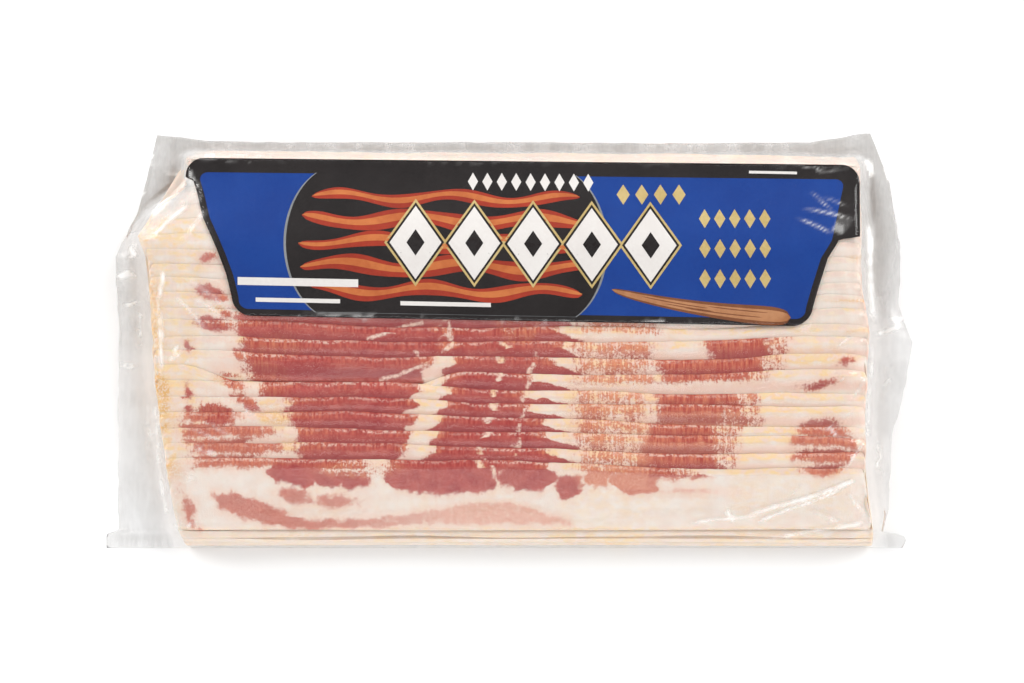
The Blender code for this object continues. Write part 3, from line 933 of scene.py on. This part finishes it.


# Small facets of the film painted white as glints, each (x, y, half x, half y, turn, how white)
FACETS = (
    (110.6, 38, 3, 3.4, 0.25, 0.4), (-105.4, 54, 2, 4.2, 0.2, 0.5),
    (103, 57.2, 8.5, 0.8, -0.08, 0.5), (121.6, 57.6, 1.1, 3.4, 0.5, 0.95),
    (129, 62, 1.5, 4.6, 0.35, 0.8), (126.8, 56.5, 1.1, 5, 0.42, 1),
    (-120.6, 60.5, 1, 3.4, 0.5, 0.6), (-124, 47, 1.2, 4.2, -0.3, 0.7),
    (-129, 21.5, 3.4, 1.5, 0.25, 0.5), (-127.5, 11.5, 4.2, 0.9, 0.1, 0.5),
    (-128, -8.5, 4.4, 1, -0.12, 0.45), (-126, 30, 3.4, 0.9, 0.7, 0.6),
    (-124, 4, 0.9, 9, 0.1, 0.35), (-121, -30, 0.9, 14, 0.05, 0.3),
    (-109.8, -61.4, 1.3, 2.2, 0.3, 0.9), (-106.2, -60.9, 0.9, 1.9, -0.3, 0.7),
    (73.2, -58.6, 0.9, 2.3, 0.1, 0.85), (107, -61, 0.7, 1.4, 0.2, 0.7),
    (131, 7.5, 3.4, 1, 0.3, 0.7), (127.5, 3.6, 5, 1, 0.4, 0.7), (110, -12.5, 2.4, 0.8, -0.6, 0.5),
    (107.6, -31, 4.8, 0.8, -0.5, 0.8), (-100.4, -36.5, 5, 0.7, -0.5, 0.85),
    (-86.5, -23.5, 4.4, 0.7, -0.5, 0.6), (-105.6, -45.5, 3.4, 0.7, -0.4, 0.4),
    (126, -14, 0.9, 9, -0.15, 0.4), (124, -40, 0.9, 9, 0.1, 0.4),
    (-111.5, -4.5, 1, 3.6, -0.4, 0.6), (-108, -8, 3.2, 0.8, 0.9, 0.5),
    (-97, -28.5, 4.5, 0.7, -0.55, 0.5), (112, -24, 3.6, 0.8, 0.5, 0.4),
    (-115.5, 44, 4.4, 1, 0.8, 0.5), (-112.5, 55.5, 3, 1, -0.6, 0.4))


def film_piece(surface):
    """The whole bag as one closed skin: the front film over the contents, the back film flat
    on the table, and the two pressed together in the margins."""
    rows, inner_columns, margin_columns = 176, 256, 8
    v = np.linspace(0, 1, rows)
    y_plain = SEAM_END + (FILM_TOP_Y - SEAM_END) * v
    film_left, film_right = follow(FILM_LEFT, y_plain), follow(FILM_RIGHT, y_plain)
    foot_left = np.maximum(follow(ENDS_LEFT, y_plain) - TENT, film_left + 1)
    foot_right = np.minimum(follow(ENDS_RIGHT, y_plain) + TENT, film_right - 1)
    share = np.linspace(0, 1, margin_columns + 1)[:-1, None]
    inner = np.linspace(0, 1, inner_columns)[:, None]
    x = np.concatenate([film_left + (foot_left - film_left) * share,
                        foot_left + (foot_right - foot_left) * inner,
                        film_right + (foot_right - film_right) * share[::-1]])
    ragged = 0.25 * rough(y_plain / 3, 0, 61)
    x = x + ragged[None, :] * ramp(np.abs(x), 119, 127) * np.sign(x)
    top = follow(FILM_TOP, x) + 0.15 * rough(x / 5, 0, 62)
    y = SEAM_END + (top - SEAM_END) * v[None, :]

    margin = margin_height(x, y)
    in_seam = ramp(y, SEAM + 0.6, SEAM - 0.2)
    pleats = 0.9 + 0.35 * np.abs(np.sin((y - SEAM) * 1.9)) + 0.15 * rough(x / 7, y, 53)
    margin = margin * (1 - in_seam) + pleats * in_seam
    height = sample(surface, x, y)
    from_foot = np.minimum(x - foot_left[None, :], foot_right[None, :] - x)
    off_stack = smooth(1 - from_foot / 2) * smooth(1 - (height - margin) / 3)
    front = margin * np.maximum(off_stack, 0.6)
    from_edge = np.minimum(x - film_left[None, :], film_right[None, :] - x)
    pinch = smooth(from_edge / 5)
    front = np.maximum(height, WELD + (front - WELD) * (0.25 + 0.75 * pinch))
    lift = ramp(height, 3, 7)
    front += creases(x, y) * (0.55 + 0.45 * lift)
    front += 0.10 * lift * np.abs(rough(x / 3, y / 1.6, 63))

    room = np.where(x < 0, foot_left - film_left, film_right - foot_right)
    together = smooth(-from_foot / np.minimum(4, 0.85 * room))
    together = np.maximum(together, ramp(y, 63.6, 65.9))
    back = SHEET + np.maximum(front - FILM_WALL, 0) * together
    back = np.where(y < SEAM_END + 1.4, np.minimum(back, 0.25), back)
    back[[0, -1], :] = front[[0, -1], :] - 0.08
    back[:, -1] = front[:, -1] - 0.08
    return closed_sheet("film", x, y, front, back)


# ---------------------------------------------------------------- materials


class Wiring:
    """Short ways to add nodes to a tree and join them."""

    def __init__(self, tree):
        self.tree = tree

    def fill(self, node, inputs):
        """Join sockets to a node's inputs, or give them plain values."""
        for key, value in inputs.items():
            if isinstance(value, bpy.types.NodeSocket):
                self.tree.links.new(value, node.inputs[key])
            else:
                node.inputs[key].default_value = value
        return node

    def node(self, kind, inputs=None, **settings):
        made = self.tree.nodes.new(kind)
        for key, value in settings.items():
            setattr(made, key, value)
        return self.fill(made, inputs or {})

    def math(self, operation, *values, clamp=False):
        made = self.node("ShaderNodeMath", operation=operation, use_clamp=clamp)
        return self.fill(made, dict(enumerate(values))).outputs[0]

    def times(self, first, second, clamp=False):
        return self.math("MULTIPLY", first, second, clamp=clamp)

    def fit(self, value, factor, offset, clamp=False):
        """The value times a factor, plus an offset."""
        return self.math("MULTIPLY_ADD", value, factor, offset, clamp=clamp)

    def ease(self, value, low, high):
        """0 at low, 1 at high, smooth between."""
        made = self.node("ShaderNodeMapRange", interpolation_type="SMOOTHSTEP")
        self.fill(made, {"Value": value, "From Min": low, "From Max": high})
        return made.outputs["Result"]

    def mix(self, factor, first, second):
        """Blend of two colours."""
        first, second = (value if isinstance(value, bpy.types.NodeSocket) else (*value, 1)
                         for value in (first, second))
        made = self.node("ShaderNodeMix", data_type="RGBA")
        return self.fill(made, {0: factor, 6: first, 7: second}).outputs[2]

    def shades(self, value, low, high, colours):
        """From the first of two colours to the second as the value goes from low to high."""
        return self.mix(self.ease(value, low, high), *colours)

    def attribute(self, name, output="Fac"):
        return self.node("ShaderNodeAttribute", attribute_name=name).outputs[output]

    def place(self):
        return self.node("ShaderNodeTexCoord").outputs["Object"]

    def stretch(self, vector, scale):
        inputs = {0: vector, 1: scale}
        return self.node("ShaderNodeVectorMath", inputs, operation="MULTIPLY").outputs[0]

    def noise(self, vector, scale, detail=3, roughness=0.5):
        inputs = {"Vector": vector, "Scale": scale, "Detail": detail, "Roughness": roughness}
        return self.node("ShaderNodeTexNoise", inputs).outputs["Fac"]

    def bump(self, height, strength, distance):
        inputs = {"Strength": strength, "Distance": distance, "Height": height}
        return self.node("ShaderNodeBump", inputs).outputs["Normal"]


def new_material(name):
    """An empty material with its Principled shader; returns it with its wiring."""
    material = bpy.data.materials.new(name)
    material.use_nodes = True
    shader = material.node_tree.nodes["Principled BSDF"]
    return material, shader, Wiring(material.node_tree)


# Pairs of colours of the meat: its two ends as a noise goes from low to high
LEAN_FACE = (0.36, 0.055, 0.057), (0.465, 0.094, 0.084)
COOL_RIM = (0.345, 0.045, 0.045), (0.475, 0.090, 0.075)
WARM_RIM = (0.42, 0.070, 0.042), (0.62, 0.180, 0.100)
PALE_LEAN = (0.66, 0.25, 0.155), (0.76, 0.43, 0.31)
MIXED_LEAN = (0.50, 0.11, 0.06), (0.71, 0.30, 0.15)
FAT = (0.80, 0.720, 0.655), (0.775, 0.655, 0.580)

# Colours laid over them
SINEW = (0.60, 0.25, 0.21)
MARBLING = (0.64, 0.32, 0.27)
STREAK = (0.66, 0.33, 0.27)
RIM_FIBRE = (0.82, 0.42, 0.20)
# Painted shade of the lean in the crevices
TUCKED_LEAN = (0.30, 0.065, 0.072)
FAINT_LEAN = (0.75, 0.49, 0.41)
GOLDEN_FAT = (0.82, 0.61, 0.36)
BLUSHED_FAT = (0.78, 0.53, 0.43)
FAT_BY_LEAN = (0.77, 0.47, 0.34)
# Painted shade of the fat in the crevices
TUCKED_FAT = (0.73, 0.47, 0.38)
JUICE = (0.72, 0.42, 0.16)
# Pale flecks on the rims, partly white fat and partly painted glints
FLECK = (0.83, 0.64, 0.54)


def meat_group():
    """Node group for sliced belly meat: colour, roughness and height from the meat's fields.

    Lean and fat are each coloured by noises along the slice, the border between them is
    broken up by the grain, painted shade darkens the crevices, and pale flecks, partly white
    fat and partly painted glints, lie over both.
    """
    group = bpy.data.node_groups.new("belly_meat", "ShaderNodeTree")
    sockets = [(name, "INPUT", "Float") for name in MEAT_FIELDS]
    sockets += [("Grain", "INPUT", "Vector"), ("Color", "OUTPUT", "Color"),
                ("Roughness", "OUTPUT", "Float"), ("Height", "OUTPUT", "Float")]
    for name, side, kind in sockets:
        group.interface.new_socket(name, in_out=side, socket_type="NodeSocket" + kind)
    w = Wiring(group)
    given = w.node("NodeGroupInput").outputs
    out = w.node("NodeGroupOutput")

    grain = given["Grain"]
    fibre = w.noise(w.stretch(grain, (1.25, 0.16, 1)), 1, 3, 0.6)
    fine = w.noise(grain, 1.5, 4, 0.6)
    blotch = w.noise(grain, 0.22, 3, 0.55)
    streak = w.noise(w.stretch(grain, (0.12, 1.4, 1)), 1, 3, 0.6)
    middle = w.noise(grain, 0.55, 3, 0.55)
    dashes = w.noise(w.stretch(grain, (0.95, 0.9, 1)), 1, 5, 0.75)
    patches = w.noise(w.stretch(grain, (0.30, 0.45, 1)), 1, 3, 0.6)

    # The border between lean and fat, broken up by the grain; mixed meat shows fibres of both.
    fibre_off, fine_off, middle_off = (w.math("SUBTRACT", noise, 0.5)
                                       for noise in (fibre, fine, middle))
    fibre_off = w.times(fibre_off, w.fit(given["Rim"], 0.45, 0.55))
    field = w.fit(fibre_off, w.fit(given["Mix"], 6.5, 1.2), given["Lean"])
    field = w.fit(fine_off, w.fit(given["Mix"], 3, 2.4), field)
    field = w.fit(middle_off, 2.6, field)
    inside = w.ease(field, -0.8, 0.8)

    # Lean: a face, a rim that is warmer towards the right, and paler and mixed stretches
    face = w.shades(blotch, 0.32, 0.68, LEAN_FACE)
    face = w.mix(w.times(w.ease(fine, 0.45, 0.7), 0.3), face, SINEW)
    face = w.mix(w.times(w.ease(middle, 0.50, 0.68), 0.12), face, MARBLING)
    rim = w.mix(given["Heat"], w.shades(fibre, 0.35, 0.62, COOL_RIM),
                w.shades(fibre, 0.35, 0.62, WARM_RIM))
    stria = w.times(w.fit(given["Mix"], 0.8, 0.35, clamp=True), w.ease(fibre, 0.54, 0.66))
    stria = w.times(stria, w.fit(given["Heat"], 0.8, 0.2))
    deep = w.mix(given["Rim"], face, w.mix(stria, rim, RIM_FIBRE))
    deep = w.mix(w.times(w.ease(streak, 0.56, 0.74), 0.2), deep, STREAK)
    lean = w.mix(given["Tone"], w.shades(fine, 0.35, 0.7, PALE_LEAN), deep)
    mixed = w.shades(fibre, 0.40, 0.62, MIXED_LEAN)
    lean = w.mix(w.times(given["Mix"], 0.6), lean, mixed)
    # Painted shade of the lean in the crevices
    lean = w.mix(w.times(given["Tuck"], 0.6), lean, TUCKED_LEAN)
    faint = w.times(given["Faint"], w.fit(middle, 0.5, 0.75))
    lean = w.mix(faint, lean, FAINT_LEAN)

    # Fat: golden or blushed on the rims, redder near lean, darkened by painted shade in the
    # crevices, and stained
    gold = w.times(w.fit(given["Rim"], 0.8, 0.2), given["Gold"])
    gold = w.times(gold, w.ease(patches, 0.36, 0.62))
    fat = w.mix(w.times(gold, 1.9, clamp=True), w.shades(blotch, 0.3, 0.7, FAT), GOLDEN_FAT)
    blush = w.times(given["Rim"], w.ease(patches, 0.58, 0.40))
    fat = w.mix(w.times(blush, 0.45), fat, BLUSHED_FAT)
    fat = w.mix(w.times(w.ease(field, -3.2, -0.3), 0.34), fat, FAT_BY_LEAN)
    fat = w.mix(w.times(given["Tuck"], 0.6), fat, TUCKED_FAT)
    stain = w.times(given["Stain"], w.ease(fine, 0.3, 0.65))
    fat = w.mix(w.times(stain, 0.95, clamp=True), fat, JUICE)

    # Pale flecks on the rims, partly white fat and partly painted glints
    flecks = w.times(given["Fleck"], w.ease(dashes, 0.46, 0.54))
    colour = w.mix(w.times(flecks, 0.70), w.mix(inside, fat, lean), FLECK)
    w.fill(out, {"Color": colour, "Roughness": w.fit(fine, 0.18, 0.40),
                 "Height": w.fit(fibre, 0.5, fine)})
    return group


def meat_material(group):
    """Moist sliced bacon."""
    material, shader, w = new_material("sliced_bacon")
    fields = {name: w.attribute(name.lower()) for name in MEAT_FIELDS}
    fields["Grain"] = w.attribute("grain", "Vector")
    meat = w.node("ShaderNodeGroup", node_tree=group)
    made = w.fill(meat, fields).outputs
    w.fill(shader, {
        "Base Color": made["Color"], "Roughness": made["Roughness"],
        "Normal": w.bump(made["Height"], 0.35, 0.0003), "Specular IOR Level": 0.12,
        "Subsurface Weight": 0.25, "Subsurface Radius": (1, 0.4, 0.3),
        "Subsurface Scale": 0.0012})
    return material


def film_material():
    """Clear film shining by Fresnel, a little milky in its margins, with painted white glints."""
    material, shader, w = new_material("clear_film")
    place = w.place()
    crinkle = w.noise(place, 420, 4, 0.55)
    broad = w.noise(place, 90, 3, 0.5)
    lines = w.noise(w.stretch(place, (230, 60, 200)), 1, 3, 0.55)
    normal = w.bump(w.fit(broad, 2, crinkle), 0.5, 0.00035)
    shine = w.node("ShaderNodeFresnel", {"IOR": 1.42, "Normal": normal}).outputs[0]
    haze, glint = w.attribute("haze"), w.attribute("glint")
    milky = w.fit(haze, 0.75, w.times(haze, w.ease(lines, 0.25, 0.75)))
    # Painted white glints are added to the milky cover
    milky = w.fit(glint, 0.75, w.times(milky, 0.132))

    # Light that goes through the film, rather than being looked at, is hardly dimmed.
    path = w.node("ShaderNodeLightPath").outputs
    passing = w.math("MAXIMUM", path["Is Shadow Ray"], path["Is Diffuse Ray"])
    alpha = w.math("ADD", shine, milky, clamp=True)
    metal = w.math("DIVIDE", shine, w.math("ADD", alpha, 0.0001), clamp=True)
    # Milky grey, painted white where the film glints
    milk = w.mix(w.times(glint, 3, clamp=True), (0.50, 0.485, 0.47), (0.98, 0.97, 0.95))
    w.fill(shader, {
        "Normal": normal, "Alpha": w.times(alpha, w.fit(passing, -0.85, 1)),
        "Metallic": metal, "Base Color": w.mix(metal, milk, (1, 1, 1)),
        "Roughness": w.fit(haze, 0.12, 0.08)})
    return material


def ink_material(name, colour, other, scale=900, roughness=0.38):
    """Printed ink on coated card: a colour with a fine, faint unevenness."""
    material, shader, w = new_material(name)
    place = w.place()
    fine = w.noise(place, scale, 3, 0.6)
    broad = w.noise(place, 60, 2, 0.5)
    blend = w.fit(broad, 0.6, w.times(fine, 0.4))
    w.fill(shader, {
        "Base Color": w.shades(blend, 0.3, 0.7, (colour, other)),
        "Roughness": w.fit(fine, 0.12, roughness - 0.06),
        "Normal": w.bump(fine, 0.1, 0.00005), "Specular IOR Level": 0.25})
    return material


def floor_material():
    """A plain pale floor with the least unevenness."""
    material, shader, w = new_material("pale_floor")
    cloud = w.noise(w.place(), 3, 2, 0.5)
    w.fill(shader, {"Base Color": w.mix(cloud, (0.96, 0.96, 0.96), (0.98, 0.98, 0.98)),
                    "Roughness": 0.7})
    return material


# ---------------------------------------------------------------- building the pack


def build_slices():
    """All slices, each a piece of its own."""
    material = meat_material(meat_group())
    for step in range(STEPS + EXTRA_SLICES + 1):
        thing = slice_piece(step)
        thing.data.materials.append(material)
        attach(thing, "root")


def build_card():
    """The card and the fields of colour and plain shapes printed on it."""
    black = ink_material("card_black", (0.012, 0.009, 0.009), (0.022, 0.017, 0.017))
    blue = ink_material("card_blue", (0.003, 0.040, 0.245), (0.005, 0.052, 0.285))
    white = ink_material("card_white", (0.74, 0.70, 0.67), (0.80, 0.77, 0.74))
    gold = ink_material("card_gold", (0.50, 0.36, 0.13), (0.62, 0.48, 0.22))
    red = ink_material("card_red", (0.42, 0.045, 0.02), (0.30, 0.03, 0.015), 400)
    amber = ink_material("card_amber", (0.62, 0.20, 0.06), (0.48, 0.12, 0.035), 400)
    tan = ink_material("card_tan", (0.34, 0.13, 0.05), (0.52, 0.25, 0.12), 300)
    brown = ink_material("card_brown", (0.14, 0.045, 0.018), (0.24, 0.085, 0.035), 300)
    grey = ink_material("card_grey", (0.20, 0.21, 0.22), (0.28, 0.29, 0.30))

    x, y = banner(0, 0, CARD_CORNER, 130, 90)
    top = card_top(x, y)
    card = closed_sheet("card", x, y, top, top - CARD_THICK)
    soften(card, 40)
    card.data.materials.append(black)
    made = [card]

    def add(name, grids, layer, material):
        made.append(print_on(name, grids, layer, material))

    add("card_field", [banner(BORDER, TOP_BORDER, FIELD_CORNER, 120, 34, ears=False)], 1, blue)

    # A dark panel with round sides, edged by a thin grey line.
    panel_left, panel_right, swell = -56, 14, 18
    panel_middle = (panel_left + panel_right) / 2

    def panel(grow):
        v = np.linspace(0, 1, 40)[None, :]
        u = np.linspace(0, 1, 60)[:, None]
        bulge = np.sqrt(np.clip(1 - (2 * v - 1) ** 2 * 0.8, 0, 1))
        left, right = panel_left - (swell + grow) * bulge, panel_right + (swell + grow) * bulge
        x = left + (right - left) * u
        bottom = card_edge(x, CARD_BOTTOM) + 1.7 - 0.1 * grow
        y = bottom + (card_edge(x, CARD_TOP) - bottom - 4.6) * v
        return x, y

    add("panel_line", [panel(0.8)], 2, grey)
    add("panel", [panel(0)], 3, black)

    # Warm wavy stripes across the panel, each with a lighter line along it.
    def stripe(number, place, half):
        reach = 27 + 22 * math.sqrt(1 - ((place - 32) / 27) ** 2)
        return ribbon(panel_middle - reach, panel_middle + reach, 70,
                      lambda t: place + 1.3 * np.sin(t * 15 + number * 1.9) - 1.2 * t,
                      lambda t: half * np.sqrt(1 - (2 * t - 1) ** 6)
                      * (0.85 + 0.15 * np.sin(t * 23 + number)))

    stripes = ((48, 2.3), (40.5, 3.1), (33, 2.6), (25, 3.2), (17, 2.7))
    add("stripes", [stripe(n, *size) for n, size in enumerate(stripes)], 4, red)
    add("stripe_lines", [stripe(n, place + 0.3, 0.42 * half)
                         for n, (place, half) in enumerate(stripes)], 5, amber)

    # A row of white lozenges edged with gold over the stripes.
    row = [(-31 + 19.5 * number, 32.6 - 0.25 * number) for number in range(5)]
    for name, half_x, half_y, layer, material in (
            ("lozenge_edges", 10.4, 14.6, 6, gold), ("lozenge_lines", 9.5, 13.4, 7, black),
            ("lozenges", 8.6, 12.2, 8, white), ("lozenge_eyes", 3, 4.4, 9, black)):
        add(name, [lozenge(*place, half_x, half_y) for place in row], layer, material)

    # Plain rules and small marks.
    def rule(start, end, place, half):
        return ribbon(start, end, 24, lambda t: place - 0.02 * (end - start) * t,
                      lambda t: half + 0 * t)

    add("rules", [rule(-90, -50, 19.8, 1.3), rule(-84, -56, 13.6, 0.7),
                  rule(-36, -6, 12.4, 0.7), rule(80, 96, 56.2, 0.45)], 6, white)
    add("marks", [lozenge(-12 + 4.8 * number, 53 - 0.05 * number, 1.7, 3)
                  for number in range(9)], 5, white)
    dots = [lozenge(38 + 6.2 * number, 48.6, 2.2, 3.4) for number in range(4)]
    dots += [lozenge(65 + 5 * number, 40.5 - 10 * row_number, 1.9, 3.2)
             for row_number in range(3) for number in range(5)]
    add("gold_marks", dots, 4, gold)

    # A tan swoosh below the right half, darker along its sides, with four thin lines on it.
    start, length = 34, 59.5

    def middle(t):
        return 17 - 9.3 * t ** 0.8 - np.sin(t * 3.1)

    def sweep(share):
        return ribbon(start, start + length, 50, middle,
                      lambda t: share * (1.2 + 2.4 * t) * np.sqrt(1 - (2 * t - 1) ** 8))

    def line(first, reach, off):
        return ribbon(first, first + reach, 30,
                      lambda t: off + middle((first + reach * t - start) / length),
                      lambda t: 0.16 * np.sqrt(1 - (2 * t - 1) ** 4))

    add("swoosh", [sweep(1)], 4, brown)
    add("swoosh_middle", [sweep(0.62)], 5, tan)
    lines = ((44, 22, 0.4), (58, 26, -0.7), (66, 20, 1), (52, 16, -0.4))
    add("swoosh_lines", [line(*place) for place in lines], 6, brown)
    for thing in made:
        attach(thing, "root")
    return made


def glints(x, y):
    """Where the film is white: painted glints along creases and on a few facets, and scuffs over
    the card's edges."""
    broken = smooth(0.5 + rough(x / 2.2, y / 2.2, 66))
    lit = np.minimum(1.3 * creases(x, y), 1) * (0.45 + 0.55 * broken)
    warped_x = x + 1.3 * rough(x / 2.6, y / 2.6, 69)
    warped_y = y + 1.3 * rough(x / 2.6, y / 2.6, 70)
    for *place, amount in FACETS:
        facet = oval(warped_x, warped_y, *place)
        lit = np.maximum(lit, amount * smooth(facet / 0.9 + 0.2) * (0.3 + 0.7 * broken))
    edge = smooth(1.6 - np.abs(inside_card(x, y)) / 1.3)
    scuffs = edge * ramp(rough(x / 2.4, y / 1.6, 67), 0.25, 0.6)
    where = smooth(0.2 + 1.4 * rough(x / 17, y / 17, 68))
    where = where * (1 - 0.8 * ramp(y, 20, 26) * ramp(x, -80, -70))
    return np.maximum(lit, 0.42 * scuffs * where)


def build_film():
    """The film, with its milky places and painted glints stored on its points."""
    thing = film_piece(film_field())
    soften(thing)
    points = np.empty(len(thing.data.vertices) * 3, dtype=np.float32)
    thing.data.vertices.foreach_get("co", points)
    x, y = points.reshape(-1, 3).T[:2] / MM
    left = follow(ENDS_LEFT, y) - TENT
    right = follow(ENDS_RIGHT, y) + TENT
    out = np.maximum(np.maximum(left - x, x - right), (y - 63.5) * 1.5)
    haze = 0.02 + 0.9 * smooth(out / 2.5 + 0.8)
    haze += 0.3 * ramp(y, HEEL + 0.8, HEEL - 0.7)
    haze += 0.8 * ramp(x, -121.5, -126.5) * ramp(y, 34, 46)
    top_edge = 62.6 - 0.008 * x
    haze += 1.7 * ramp(y, top_edge, top_edge + 1.2) * (1 + 0.4 * rough(x / 40, y / 0.8, 65))
    beside_card = 0.8 * ramp(x, -95, -101) * ramp(y, -8, 0)
    beside_card += 0.8 * ramp(x, 97, 103) * ramp(y, 1, 7)
    corner = oval(x, y, -124, 62, 25, 28)
    corner = np.maximum(corner, oval(x, y, 124, 48, 9, 40))
    beside_card += 4.2 * smooth(corner / 7)
    beside_card += 0.7 * ramp(y, 58.5, 60.5)
    haze += beside_card * smooth(0.5 - inside_card(x, y) / 1.2)
    haze *= 0.85 + 0.25 * rough(x / 9, y / 5, 64)
    paint(thing, "haze", np.clip(haze, 0, 4.8))
    paint(thing, "glint", np.clip(glints(x, y), 0, 1))
    thing.data.materials.append(film_material())
    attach(thing, "root")
    return thing


build_slices()
card_pieces = build_card()
film = build_film()
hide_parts("bag")
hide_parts("label")


# ---------------------------------------------------------------- floor, lights and camera


def area_light(name, place, width, height, power):
    """A soft rectangular light at a place, turned to the middle of the pack's underside."""
    lamp = bpy.data.lights.new(name, "AREA")
    lamp.shape = "RECTANGLE"
    lamp.size, lamp.size_y, lamp.energy = width, height, power
    thing = bpy.data.objects.new(name, lamp)
    thing.location = place
    x, y, z = place
    tilt = math.acos(z / math.hypot(x, y, z))
    thing.rotation_euler = (tilt, 0, math.atan2(-y, -x) - math.pi / 2)
    bpy.context.scene.collection.objects.link(thing)


def build_stage():
    """A pale floor, three soft lights round the pack and a surround that is dim overhead."""
    reach, below = 3000, -0.3
    corners = [(side * reach, end * reach, below)
               for side, end in ((-1, -1), (1, -1), (1, 1), (-1, 1))]
    floor = new_mesh("floor", corners, [(0, 1, 2, 3)])
    floor.data.materials.append(floor_material())
    area_light("key", (-1.05, 0.92, 0.78), 0.9, 0.9, 16.5)
    area_light("second_key", (1.05, 0.90, 0.78), 0.9, 0.9, 14.5)
    area_light("fill", (0.2, -1.2, 1), 2.6, 1.5, 18.5)
    world = bpy.data.worlds.new("surround")
    world.use_nodes = True
    w = Wiring(world.node_tree)
    way = w.node("ShaderNodeTexCoord").outputs["Generated"]
    height = w.node("ShaderNodeSeparateXYZ", {0: way}).outputs["Z"]
    shade = w.shades(height, 0.40, 0.62, ((1, 1, 1), (0.26, 0.26, 0.26)))
    w.fill(world.node_tree.nodes["Background"], {"Color": shade, "Strength": 0.9})
    bpy.context.scene.world = world
    bpy.context.scene.view_settings.view_transform = "Standard"


def build_camera():
    """A long lens straight above the pack, with the card towards the top of the picture.

    Its focal length makes the given width of the scene fill the picture at the pack's height.
    """
    height, pack_height_seen, shown_width = 1.6, 0.010, 0.3413
    data = bpy.data.cameras.new("camera")
    data.sensor_width = 36
    data.lens = data.sensor_width * (height - pack_height_seen) / shown_width
    camera = bpy.data.objects.new("camera", data)
    camera.location = (0.001, -0.0003, height)
    bpy.context.scene.collection.objects.link(camera)
    bpy.context.scene.camera = camera


build_stage()
build_camera()
